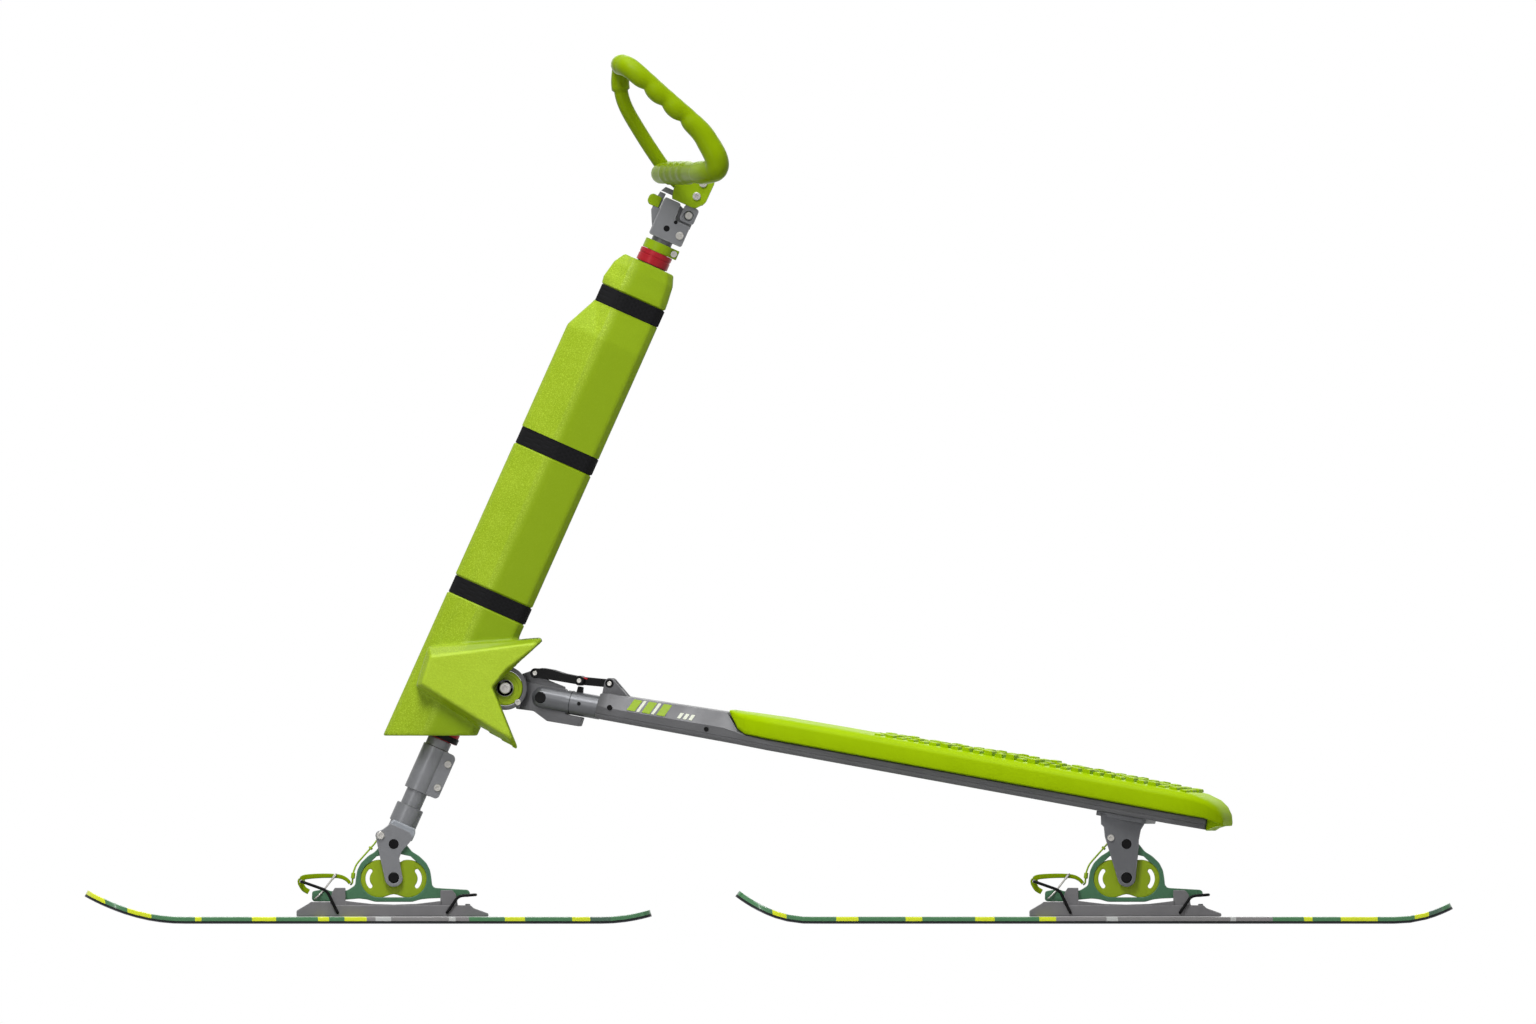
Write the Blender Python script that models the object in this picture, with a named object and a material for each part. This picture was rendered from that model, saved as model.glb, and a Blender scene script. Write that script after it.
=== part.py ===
"""Snow scooter: a leaning steering column, two splayed deck arms and three short skis.

Metres, +Z up, +X to the rear, ground at Z 0. Each piece is its own closed object.
Every group is drawn in a frame of its own: the column, each arm and each ski.
"""

import math

import bmesh
import bpy
from mathutils import Matrix, Vector

# Whole object
GAP = 0.0003
FRONT_NOSE = 0.4174
PIN_SPACING = 0.9894
REAR_TAIL = 0.4407
PIN_HEIGHT = 0.1077
FRONT_PIN_X = FRONT_NOSE - (FRONT_NOSE + PIN_SPACING + REAR_TAIL) / 2
REAR_PIN_X = FRONT_PIN_X + PIN_SPACING
COLUMN_LEAN = math.radians(24.0)
SPLAY = math.radians(15.0)
SIDES = {"left": -1, "right": 1}

# Column, measured along its axis from the front upper pin
HEAD_TUBE_BOTTOM = 0.1703
HEAD_TUBE_TOP = 0.8590
HEAD_TUBE_RADIUS = 0.0200
HEAD_TUBE_BORE = 0.0170
STEERER_RADIUS = 0.0143
STEERER_BOTTOM = 0.1100
STEERER_END_DROP = 0.0259
RING_RADIUS = 0.0225
RING_HEIGHT = 0.0150
COLLAR_RADIUS = 0.0215
COLLAR_HEIGHT = 0.0130
COLLAR_EAR_REACH = 0.0275
COLLAR_EAR_HALF_WIDTH = 0.0100
SLIT_WIDTH = 0.0020
CLAMP_BOTTOM = 0.0780
CLAMP_TOP = 0.1430
CLAMP_RADIUS = 0.0185
CLAMP_NECK_RADIUS = 0.0165
CLAMP_EAR_REACH = 0.0300
CLAMP_EAR_HALF_WIDTH = 0.0110
CLAMP_EAR_LENGTH = 0.0190
SLEEVE_RADIUS = 0.0190
SLEEVE_BOTTOM = 0.0290
SLEEVE_TOP = 0.0560
CROWN_BOTTOM = 0.0155
CROWN_FRONT = -0.0163
CROWN_REAR = 0.0211

# Camber axle and the arm knuckles on it
AXLE_UP = 0.2535
AXLE_BACK = 0.0517
AXLE_RADIUS = 0.0077
AXLE_HEAD_RADIUS = 0.0110
AXLE_HEAD_HEIGHT = 0.0025
YOKE_HALF_WIDTH = 0.0205
YOKE_RADIUS = 0.0170
KNUCKLE_Y = 0.0370
EYE_HALF_WIDTH = 0.0150
EYE_RADIUS = 0.0297
EYE_BORE = 0.0240
FOLD_PIN_UP = AXLE_UP + 0.0094
FOLD_PIN_BACK = AXLE_BACK + 0.0526
FOLD_PIN_RADIUS = 0.0070
TONGUE_HALF_WIDTH = 0.0067
LUG_HALF_WIDTH = 0.0035
LINK_PIN_RADIUS = 0.0028
LINK_CHEEK = 0.0045
LINK_HALF_HEIGHT = 0.0055
LINK_A = (-0.0153, 0.0307)
LINK_C = (0.0899, 0.0350)
FRONT_LINK_LENGTH = 0.0626
OVER_CENTRE = 0.0018

# Foam cover round the head tube
COVER_FOOT = HEAD_TUBE_BOTTOM - 0.0103
COVER_TOP = HEAD_TUBE_TOP - 0.0040
COVER_CORNER = 0.0090
WING_INNER_Y = 0.0570
WING_EDGE_Y = 0.0640
WING_FACE_Y = 0.0720
POCKET_RADIUS = 0.0330
STRAP_WIDTH = 0.0240
STRAP_THICKNESS = 0.0018
STRAP_MIDDLES = (
    HEAD_TUBE_TOP - 0.0655,
    (HEAD_TUBE_TOP + AXLE_UP) / 2 + 0.0183,
    AXLE_UP + 0.1005,
)
COVER_STATIONS = (
    (AXLE_UP + 0.0865, -0.0700, 0.0410, 0.0500),
    (HEAD_TUBE_TOP - 0.1220, -0.0712, 0.0420, 0.0500),
    (HEAD_TUBE_TOP - 0.0790, -0.0516, 0.0418, 0.0430),
    (HEAD_TUBE_TOP - 0.0520, -0.0516, 0.0418, 0.0430),
    (HEAD_TUBE_TOP - 0.0430, -0.0530, 0.0413, 0.0420),
    (HEAD_TUBE_TOP - 0.0190, -0.0480, 0.0385, 0.0370),
    (COVER_TOP, -0.0390, 0.0330, 0.0300),
)
COVER_FOOT_SIZES = (-0.0728, 0.0436, 0.0500)
COVER_RIDGE = -0.0180
WING_EDGE = (
    (-0.0658, AXLE_UP + 0.0083),
    (-0.0592, AXLE_UP - 0.0464),
    (0.0965, AXLE_UP - 0.0687),
    (0.0372, AXLE_UP - 0.0058),
    (0.0481, AXLE_UP + 0.0250),
    (0.0675, AXLE_UP + 0.0795),
)
WING_FACE = (
    (-0.0573, AXLE_UP - 0.0027),
    (-0.0524, AXLE_UP - 0.0404),
    (0.0789, AXLE_UP - 0.0558),
    (0.0346, AXLE_UP - 0.0061),
    (0.0435, AXLE_UP + 0.0260),
    (0.0616, AXLE_UP + 0.0687),
)

# Stem and handlebar
HINGE_UP = HEAD_TUBE_TOP + 0.0779
HINGE_BACK = 0.0189
HINGE_RADIUS = 0.0060
HOUSING_HALF_WIDTH = 0.0200
TAB_HALF_WIDTH = 0.0090
BRACKET_CHEEK = 0.0070
BLOCK_HALF_WIDTH = 0.0165
BAR_RADIUS = 0.0130
BAR_HALF_WIDTH = 0.2650
STRUT_RADIUS = 0.0095
HOUSING_DROP = 0.0436
HOUSING_SHOULDER_DROP = 0.0129
HOUSING_RISE = 0.0066
HOUSING_FRONT = -0.0199
HOUSING_REAR = 0.0270
TONGUE_RADIUS = 0.0088
LATCH_DROP = 0.0119
LATCH_FRONT = -0.0260
LATCH_PIN_RADIUS = 0.0025
LATCH_HALF_WIDTH = 0.0050

# Deck arm, measured along the rail from the fold pin
TUBE_RADIUS = 0.0160
SLOT_ROOT = 0.0385
RAIL_START = 0.0817
RAIL_END = 0.9480
RAIL_BOTTOM = -0.0140
PAD_SEAT = 0.0015
PAD_TAIL = 0.9716
TREAD_FIRST = 0.5450
TREAD_PITCH = 0.0310
TREAD_COUNT = 12
TREAD_HEIGHT = 0.0050
TREAD_WIDTH = 0.0110
RAIL_STATIONS = (
    (RAIL_START, 0.0260, 0.0160, 0.0040, 0.0200),
    (0.0950, 0.0320, 0.0190, 0.0040, 0.0225),
    (0.1187, 0.0320, 0.0190, 0.0042, 0.0220),
    (0.2620, 0.0320, 0.0200, 0.0060, 0.0260),
    (0.2815, 0.0330, 0.0280, 0.0035, 0.0055),
    (0.2950, 0.0360, 0.0340, 0.0005, PAD_SEAT),
    (0.3300, 0.0460, 0.0440, 0.0005, PAD_SEAT),
    (0.9000, 0.0460, 0.0440, 0.0005, PAD_SEAT),
    (RAIL_END, 0.0300, 0.0280, 0.0005, PAD_SEAT),
)
PAD_STATIONS = (
    (0.2650, 0.0210, 0.0263, 0.0300),
    (0.2820, 0.0300, 0.0062, 0.0305),
    (0.2955, 0.0400, PAD_SEAT + 0.0005, 0.0310),
    (0.3300, 0.0530, PAD_SEAT + GAP, 0.0320),
    (0.4240, 0.0560, PAD_SEAT + GAP, 0.0330),
    (0.9000, 0.0560, PAD_SEAT + GAP, 0.0330),
    (0.9350, 0.0520, PAD_SEAT + GAP, 0.0320),
    (0.9580, 0.0400, PAD_SEAT + GAP, 0.0270),
    (PAD_TAIL, 0.0200, 0.0050, 0.0140),
)

# Ski module, measured from its upper pin
LOWER_PIN_DROP = 0.0456
PIN_RADIUS = 0.0068
BOLT_RADIUS = 0.0035
FORK_BOLT = (-0.0178, 0.0115)
HANGER_BOLT = (-0.0211, 0.0083)
ARM_ABOVE_PIN = 0.0540
PLATE_INNER_Y = 0.0180
PLATE_OUTER_Y = 0.0240
FRAME_HALF_WIDTH = 0.0170
BLOCK_HALF = 0.0150
LOBE_SPACING = 0.0194
LOBE_DROP = 0.0468
LOBE_RADIUS = 0.0256
BOSS_RADIUS = 0.0130
SKI_THICKNESS = 0.0095
SKI_HALF_WIDTH = 0.0475
SKI_WAIST = 0.0390
BASE_HALF_WIDTH = 0.0290
CHEEK_INNER_Y = 0.0183
CHEEK_OUTER_Y = 0.0240
WIRE_RADIUS = 0.0020
WIRE_LEG_Y = 0.0316
LEVER_HALF_WIDTH = 0.0130
LEVER_WALL = 0.0040
CORD_RADIUS = 0.0012
TOE_PIVOT = (-0.0757, SKI_THICKNESS + 0.0055 - PIN_HEIGHT)
HEEL_PIVOT = (0.0722, SKI_THICKNESS + 0.0058 - PIN_HEIGHT)
TOE_BAR = (-0.1247, -0.0506)
HEEL_BAR = (0.1108, -0.0685)
FRONT_SKI = (-FRONT_NOSE, -0.2850, 0.2810, 0.3486, 0.0370, 0.0100)
REAR_SKI = (-0.5283, -0.4300, 0.3640, REAR_TAIL, 0.0370, 0.0200)

# Finishes: red, green and blue from 0 to 255, then roughness and metalness
FINISHES = {
    "foam": ((158, 188, 36), 0.72, 0.0),
    "lime_gloss": ((160, 190, 30), 0.28, 0.0),
    "deck_foam": ((170, 202, 32), 0.38, 0.0),
    "lime_metal": ((160, 190, 30), 0.32, 0.1),
    "grey_metal": ((115, 117, 120), 0.42, 0.7),
    "dark_metal": ((75, 75, 78), 0.45, 0.6),
    "black_metal": ((24, 24, 26), 0.40, 0.5),
    "red_anodised": ((175, 20, 40), 0.30, 0.6),
    "strap": ((24, 24, 25), 0.85, 0.0),
    "sage": ((85, 130, 100), 0.45, 0.0),
    "elastomer": ((140, 165, 20), 0.55, 0.0),
    "plate_grey": ((118, 116, 116), 0.50, 0.0),
}


# Frames
def frame_column():
    """X rearward, Y across and Z up the steering axis, from the front upper pin."""
    place = Matrix.Translation((FRONT_PIN_X, 0, PIN_HEIGHT))
    return place @ Matrix.Rotation(COLUMN_LEAN, 4, "Y")


def frame_arm(side):
    """X along the rail, Z away from the snow, from the middle of one fold pin."""
    pin = frame_column() @ Vector((FOLD_PIN_BACK, side * KNUCKLE_Y, FOLD_PIN_UP))
    run = (REAR_PIN_X - pin.x) / math.cos(SPLAY)
    slope = math.atan((pin.z - PIN_HEIGHT - ARM_ABOVE_PIN) / run)
    turn = Matrix.Rotation(side * SPLAY, 4, "Z") @ Matrix.Rotation(slope, 4, "Y")
    return Matrix.Translation(pin) @ turn


def rear_pin_y(side):
    """The rear ski sits where the splayed arm reaches the rear pin."""
    pin_x = (frame_column() @ Vector((FOLD_PIN_BACK, 0, FOLD_PIN_UP))).x
    return side * (KNUCKLE_Y + (REAR_PIN_X - pin_x) * math.tan(SPLAY))


def frame_ski(x, y):
    """World directions, from the upper pin of one ski."""
    return Matrix.Translation((x, y, PIN_HEIGHT))


# Outlines
def arc(centre, radius, start, end, steps):
    """Points on an arc, angles in degrees, both ends included."""
    points = []
    for step in range(steps + 1):
        angle = math.radians(start + (end - start) * step / steps)
        points.append((centre[0] + radius * math.cos(angle), centre[1] + radius * math.sin(angle)))
    return points


def mirrored(outline):
    """The same outline with its first coordinate negated, in the reverse order."""
    return [(-x, z) for x, z in reversed(outline)]


def offset_path(path, distance, closed=False):
    """A path moved to its left by a distance, mitred at each corner."""
    moved_points = []
    last = len(path) - 1
    for index, point in enumerate(path):
        arriving = path[index - 1] if index or closed else None
        leaving = path[(index + 1) % len(path)] if index < last or closed else None
        before = (Vector(point) - Vector(arriving or point)).normalized()
        after = (Vector(leaving or point) - Vector(point)).normalized()
        first = Vector((-before.y, before.x)) if arriving else Vector((-after.y, after.x))
        second = Vector((-after.y, after.x)) if leaving else first
        normal = (first + second).normalized()
        reach = distance / max(normal.dot(first), 0.5)
        moved_points.append((point[0] + normal.x * reach, point[1] + normal.y * reach))
    return moved_points


def thick_path(path, thickness):
    """A closed outline that follows a path with a wall on either side of it."""
    return offset_path(path, thickness / 2) + offset_path(path, -thickness / 2)[::-1]


def smoothed(points, steps):
    """A closed path through the points with rounded stretches between them."""
    knots = [Vector(point) for point in points]
    count = len(knots)
    path = []
    for index in range(count):
        before, start = knots[index - 1], knots[index]
        end, after = knots[(index + 1) % count], knots[(index + 2) % count]
        for step in range(steps):
            share = step / steps
            bend = 2 * before - 5 * start + 4 * end - after
            twist = 3 * start - before - 3 * end + after
            path.append(start + 0.5 * share * ((end - before) + share * (bend + share * twist)))
    return path


# Solids
def from_rings(rings, closed=False):
    """One body through rings that have the same number of points."""
    mesh = bpy.data.meshes.new("solid")
    work = bmesh.new()
    rows = [[work.verts.new(point) for point in ring] for ring in rings]
    pairs = list(zip(rows, rows[1:]))
    if closed:
        pairs.append((rows[-1], rows[0]))
    else:
        work.faces.new(rows[0])
        work.faces.new(rows[-1])
    count = len(rows[0])
    for lower, upper in pairs:
        for index in range(count):
            following = (index + 1) % count
            work.faces.new((lower[index], lower[following], upper[following], upper[index]))
    bmesh.ops.recalc_face_normals(work, faces=work.faces)
    work.to_mesh(mesh)
    work.free()
    solid = bpy.data.objects.new("solid", mesh)
    bpy.context.scene.collection.objects.link(solid)
    return solid


def slab(outline, low, high):
    """A flat piece between two planes across Y."""
    return from_rings([[(x, y, z) for x, z in outline] for y in (low, high)])


def box(low, high):
    corners = [(low[0], low[2]), (high[0], low[2]), (high[0], high[2]), (low[0], high[2])]
    return slab(corners, low[1], high[1])


def rod(start, end, radius, segments=16):
    """A cylinder between two points."""
    return swept([start, end], [radius, radius], segments)


def swept(path, radii, segments=10, closed=False):
    """A round bar along a path, with a radius at each point."""
    points = [Vector(point) for point in path]
    count = len(points)
    tangents = []
    for index in range(count):
        before = points[index - 1] if index or closed else points[index]
        after = points[(index + 1) % count] if index < count - 1 or closed else points[index]
        tangents.append((after - before).normalized())
    across = Vector((0, 1, 0))
    if abs(tangents[0].dot(across)) > 0.9:
        across = Vector((1, 0, 0))
    rings = []
    for point, tangent, radius in zip(points, tangents, radii):
        across = (across - tangent * across.dot(tangent)).normalized()
        upright = tangent.cross(across)
        ring = []
        for step in range(segments):
            angle = 2 * math.pi * (step + 0.5) / segments
            reach = across * math.cos(angle) + upright * math.sin(angle)
            ring.append(point + reach * radius)
        rings.append(ring)
    return from_rings(rings, closed)


def tube_up(profile, segments=24):
    """A turned piece on the column axis from its radius and height pairs."""
    rings = []
    for radius, height in profile:
        ring = []
        for step in range(segments):
            angle = 2 * math.pi * step / segments
            ring.append((radius * math.cos(angle), radius * math.sin(angle), height))
        rings.append(ring)
    return from_rings(rings, closed=True)


def solid_up(radius, low, high, segments=24):
    """A plain cylinder on the column axis."""
    rings = []
    for height in (low, high):
        ring = []
        for step in range(segments):
            angle = 2 * math.pi * step / segments
            ring.append((radius * math.cos(angle), radius * math.sin(angle), height))
        rings.append(ring)
    return from_rings(rings)


def disc(centre, radius, low, high, segments=16):
    """A cylinder across Y about a point of the side view."""
    return slab(arc(centre, radius, 0, 360 - 360 / segments, segments - 1), low, high)


def combined(base, tools, operation):
    """The base after one Boolean with each tool. The tools are used up."""
    for tool in tools:
        modifier = base.modifiers.new("shape", "BOOLEAN")
        modifier.object = tool
        modifier.operation = operation
        modifier.solver = "EXACT"
        bpy.context.view_layer.update()
        graph = bpy.context.evaluated_depsgraph_get()
        result = bpy.data.meshes.new_from_object(base.evaluated_get(graph))
        base.modifiers.clear()
        base.data = result
        bpy.data.objects.remove(tool)
    return base


def joined(base, *tools):
    return combined(base, tools, "UNION")


def cut(base, *tools):
    return combined(base, tools, "DIFFERENCE")


def moved(solid, matrix):
    """The solid with its points carried through a matrix."""
    solid.data.transform(matrix)
    return solid


# Objects
def material(finish):
    """One Principled material for each finish."""
    if finish in bpy.data.materials:
        return bpy.data.materials[finish]
    colour, roughness, metalness = FINISHES[finish]
    made = bpy.data.materials.new(finish)
    made.use_nodes = True
    shader = made.node_tree.nodes["Principled BSDF"]
    linear = [(value / 255) ** 2.2 for value in colour]
    shader.inputs["Base Color"].default_value = (*linear, 1.0)
    shader.inputs["Roughness"].default_value = roughness
    shader.inputs["Metallic"].default_value = metalness
    return made


def group(name, matrix):
    """An empty that carries the pieces of one frame."""
    empty = bpy.data.objects.new(name, None)
    bpy.context.scene.collection.objects.link(empty)
    empty.matrix_world = matrix
    return empty


def place(solid, name, parent, finish, pivot=(0, 0, 0)):
    """Names a solid, hangs it on its frame and sets its origin on its pivot."""
    solid.name = name
    solid.data.name = name
    solid.data.transform(Matrix.Translation(-Vector(pivot)))
    solid.data.shade_smooth()
    solid.data.set_sharp_from_angle(angle=math.radians(32))
    solid.data.materials.clear()
    solid.data.materials.append(material(finish))
    solid.parent = parent
    solid.location = pivot
    return solid


# Column
def cover_outline(front, rear, half_width):
    """The six-cornered section of the cover, seen down the column."""
    half = [
        (front, 0.30 * half_width),
        (front + COVER_CORNER * 0.7, 0.46 * half_width),
        (COVER_RIDGE - COVER_CORNER, 0.96 * half_width),
        (COVER_RIDGE + COVER_CORNER * 0.4, half_width),
        (rear - COVER_CORNER, 0.94 * half_width),
        (rear, 0.94 * half_width - COVER_CORNER),
    ]
    return half + [(x, -y) for x, y in reversed(half)]


def cover_at(height):
    """The cover section at a height between two of its stations."""
    for lower, upper in zip(COVER_STATIONS, COVER_STATIONS[1:]):
        if lower[0] <= height <= upper[0]:
            share = (height - lower[0]) / (upper[0] - lower[0])
            sizes = [low + share * (high - low) for low, high in zip(lower[1:], upper[1:])]
            return cover_outline(*sizes)
    raise ValueError("height outside the cover")


def build_cover(column):
    foot = cover_outline(*COVER_FOOT_SIZES)
    slope = math.tan(COLUMN_LEAN)
    rings = [[(x, y, COVER_FOOT + x * slope) for x, y in foot]]
    for height, *sizes in COVER_STATIONS:
        rings.append([(x, y, height) for x, y in cover_outline(*sizes)])
    cover = from_rings(rings)
    for side in SIDES.values():
        layers = ((0.030, WING_EDGE), (WING_EDGE_Y, WING_EDGE), (WING_FACE_Y, WING_FACE))
        wing = from_rings([[(x, side * y, z) for x, z in shape] for y, shape in layers])
        cover = joined(cover, wing)
    opening = YOKE_HALF_WIDTH + 2 * GAP
    behind = COVER_FOOT_SIZES[1] + GAP
    cover = cut(
        cover,
        box((behind, -WING_INNER_Y, AXLE_UP - 0.15), (0.15, WING_INNER_Y, AXLE_UP + 0.17)),
        disc((AXLE_BACK, AXLE_UP), POCKET_RADIUS, -WING_INNER_Y, WING_INNER_Y, 24),
        box((0.010, -opening, AXLE_UP - 0.025), (0.060, opening, AXLE_UP + 0.025)),
        solid_up(HEAD_TUBE_RADIUS + GAP, 0.10, HEAD_TUBE_TOP + 0.04),
        solid_up(RING_RADIUS + 2 * GAP, 0.10, HEAD_TUBE_BOTTOM + 0.001),
    )
    place(cover, "foam_cover", column, "foam")
    for number, middle in enumerate(STRAP_MIDDLES, 1):
        low, high = middle - STRAP_WIDTH / 2, middle + STRAP_WIDTH / 2
        outer_gap = -GAP - STRAP_THICKNESS
        loops = ((low, -GAP), (low, outer_gap), (high, outer_gap), (high, -GAP))
        rings = []
        for height, distance in loops:
            section = offset_path(cover_at(height), -distance, closed=True)
            rings.append([(x, y, height) for x, y in section])
        place(from_rings(rings, closed=True), f"cover_strap_{number}", column, "strap")


def build_spine(column):
    tube = tube_up(
        [
            (HEAD_TUBE_BORE, HEAD_TUBE_BOTTOM),
            (HEAD_TUBE_RADIUS, HEAD_TUBE_BOTTOM),
            (HEAD_TUBE_RADIUS, HEAD_TUBE_TOP),
            (HEAD_TUBE_BORE, HEAD_TUBE_TOP),
        ]
    )
    axle = (AXLE_BACK, AXLE_UP)
    yoke_outline = arc(axle, YOKE_RADIUS, -90, 90, 10)
    yoke_outline += [(0.0125, AXLE_UP + 0.021), (0.0125, AXLE_UP - 0.021)]
    yoke = slab(yoke_outline, -YOKE_HALF_WIDTH, YOKE_HALF_WIDTH)
    end = KNUCKLE_Y + EYE_HALF_WIDTH + GAP
    shaft = disc(axle, AXLE_RADIUS, -end - AXLE_HEAD_HEIGHT, end + AXLE_HEAD_HEIGHT)
    heads = [
        disc(axle, AXLE_HEAD_RADIUS, end, end + AXLE_HEAD_HEIGHT),
        disc(axle, AXLE_HEAD_RADIUS, -end - AXLE_HEAD_HEIGHT, -end),
    ]
    spine = cut(joined(tube, yoke, shaft, *heads), solid_up(HEAD_TUBE_BORE, 0.15, HEAD_TUBE_TOP + 0.02))
    place(spine, "frame_spine", column, "dark_metal")
    rings = {
        "lower_bearing_ring": HEAD_TUBE_BOTTOM - GAP - RING_HEIGHT,
        "upper_bearing_ring": HEAD_TUBE_TOP + GAP,
    }
    for name, low in rings.items():
        bore = STEERER_RADIUS + GAP
        high = low + RING_HEIGHT
        profile = [(bore, low), (RING_RADIUS, low), (RING_RADIUS, high), (bore, high)]
        place(tube_up(profile), name, column, "red_anodised")


def split_ring(radius, low, high, reach, half_width):
    """A clamping ring round the steerer with an ear to the rear and a slit through it."""
    bore = STEERER_RADIUS + GAP
    slit = SLIT_WIDTH / 2
    meeting = math.degrees(math.asin(half_width / radius))
    opening = math.degrees(math.asin(slit / bore))
    outline = [(reach, slit), (reach, half_width)]
    outline += arc((0, 0), radius, meeting, 360 - meeting, 18)
    outline += [(reach, -half_width), (reach, -slit)]
    outline += arc((0, 0), bore, 360 - opening, opening, 18)
    return from_rings([[(x, y, height) for x, y in outline] for height in (low, high)])


def cross_pins(bolt):
    """The pin that the ski hangs on and the bolt that holds its tether."""
    end = PLATE_OUTER_Y + 0.001
    return [disc((0, 0), PIN_RADIUS, -end, end), disc(bolt, BOLT_RADIUS, -end, end, 12)]


def build_steering(column, front_pin):
    inner = STEERER_RADIUS - 0.0025
    top = HINGE_UP - STEERER_END_DROP
    profile = [
        (inner, STEERER_BOTTOM),
        (STEERER_RADIUS, STEERER_BOTTOM),
        (STEERER_RADIUS, top),
        (inner, top),
    ]
    place(tube_up(profile), "steerer_tube", column, "grey_metal")

    low = HEAD_TUBE_TOP + RING_HEIGHT + 2 * GAP
    high = low + COLLAR_HEIGHT
    collar = split_ring(COLLAR_RADIUS, low, high, COLLAR_EAR_REACH, COLLAR_EAR_HALF_WIDTH)
    place(collar, "stem_collar", column, "lime_metal")

    clamp = split_ring(
        CLAMP_RADIUS, CLAMP_BOTTOM, CLAMP_TOP, CLAMP_EAR_REACH, CLAMP_EAR_HALF_WIDTH
    )
    middle = (CLAMP_BOTTOM + CLAMP_TOP) / 2
    half_notch = (CLAMP_TOP - CLAMP_BOTTOM) / 2 - CLAMP_EAR_LENGTH
    notch = box(
        (CLAMP_RADIUS, -0.03, middle - half_notch), (0.05, 0.03, middle + half_notch)
    )
    neck_top = HEAD_TUBE_BOTTOM - RING_HEIGHT - 2 * GAP
    neck_bore = STEERER_RADIUS + 2 * GAP
    neck = tube_up(
        [
            (neck_bore, CLAMP_TOP),
            (CLAMP_NECK_RADIUS, CLAMP_TOP),
            (CLAMP_NECK_RADIUS, neck_top),
            (neck_bore, neck_top),
        ]
    )
    place(joined(cut(clamp, notch), neck), "lower_clamp", column, "grey_metal")

    fork = joined(
        solid_up(STEERER_RADIUS, SLEEVE_TOP - 0.01, STEERER_BOTTOM - GAP),
        solid_up(SLEEVE_RADIUS, SLEEVE_BOTTOM, SLEEVE_TOP),
        box(
            (CROWN_FRONT, -PLATE_OUTER_Y, CROWN_BOTTOM),
            (CROWN_REAR, PLATE_OUTER_Y, SLEEVE_BOTTOM + 0.002),
        ),
    )
    lean = Matrix.Rotation(COLUMN_LEAN, 4, "Y")
    outline = [
        (0.0075, -0.0193),
        (0.0111, -0.0102),
        (0.0188, -0.0012),
        (0.0260, 0.0075),
        (0.0226, 0.0158),
        (-0.0040, 0.0280),
        (-0.0145, 0.0200),
    ]
    outline += arc(FORK_BOLT, 0.0068, 90, 200, 4)
    outline += [(-0.0196, -0.0129)]
    outline += arc((0, -LOWER_PIN_DROP), 0.0123, 185, 355, 10)
    fork = moved(fork, lean)
    for side in SIDES.values():
        low, high = sorted((side * PLATE_INNER_Y, side * PLATE_OUTER_Y))
        plate = slab(outline, low, high)
        pin_hole = disc((0, -LOWER_PIN_DROP), PIN_RADIUS + GAP, low - 0.01, high + 0.01)
        fork = joined(fork, cut(plate, pin_hole))
    place(joined(fork, *cross_pins(FORK_BOLT)), "front_fork", front_pin, "grey_metal")


def build_stem(column, hinge_frame):
    bore = STEERER_RADIUS + GAP
    hinge = (HINGE_BACK, HINGE_UP)
    latch = (LATCH_FRONT, HINGE_UP - LATCH_DROP)
    low = HINGE_UP - HOUSING_DROP
    shoulder = HINGE_UP - HOUSING_SHOULDER_DROP
    top = HINGE_UP + HOUSING_RISE
    outline = [(HOUSING_FRONT, low), (HOUSING_REAR, low), (HOUSING_REAR, shoulder)]
    outline += [(0.0045, shoulder), (0.0030, top), (HOUSING_FRONT, top)]
    housing = slab(outline, -HOUSING_HALF_WIDTH, HOUSING_HALF_WIDTH)
    tongue = arc(hinge, TONGUE_RADIUS, 0, 180, 8)
    tongue += [(HINGE_BACK + side * TONGUE_RADIUS, shoulder - 0.004) for side in (-1, 1)]
    root = HOUSING_FRONT + 0.001
    ear = arc(latch, 0.0050, 90, 270, 6) + [(root, latch[1] - 0.005), (root, latch[1] + 0.005)]
    housing = joined(
        housing,
        slab(tongue, -TAB_HALF_WIDTH, TAB_HALF_WIDTH),
        disc(hinge, HINGE_RADIUS, -HOUSING_HALF_WIDTH, HOUSING_HALF_WIDTH),
        slab(ear, -0.0095, 0.0095),
    )
    gap_half = LATCH_HALF_WIDTH + GAP
    housing = cut(
        housing,
        solid_up(bore, low - 0.01, HINGE_UP - STEERER_END_DROP + GAP),
        box((-0.040, -gap_half, latch[1] - 0.010), (HOUSING_FRONT, gap_half, latch[1] + 0.010)),
    )
    pin = disc(latch, LATCH_PIN_RADIUS, -0.0075, 0.0075, 16)
    place(joined(housing, pin), "stem_housing", column, "grey_metal")

    lever = [(0.0045, 0), (0.0035, 0.0265), (-0.0040, 0.0265), (-0.0055, 0.0152)]
    lever += [(-0.0131, 0.0152), (-0.0131, 0.0066), (-0.0050, 0.0066)]
    lever += arc((0, 0), 0.0047, 180, 350, 6)
    lever_solid = slab(lever, -LATCH_HALF_WIDTH, LATCH_HALF_WIDTH)
    lever_solid = cut(lever_solid, disc((0, 0), LATCH_PIN_RADIUS + GAP, -0.02, 0.02, 16))
    place(lever_solid, "stem_latch_lever", hinge_frame, "lime_metal")
    lever_solid.location = (LATCH_FRONT - HINGE_BACK, 0, -LATCH_DROP)


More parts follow.
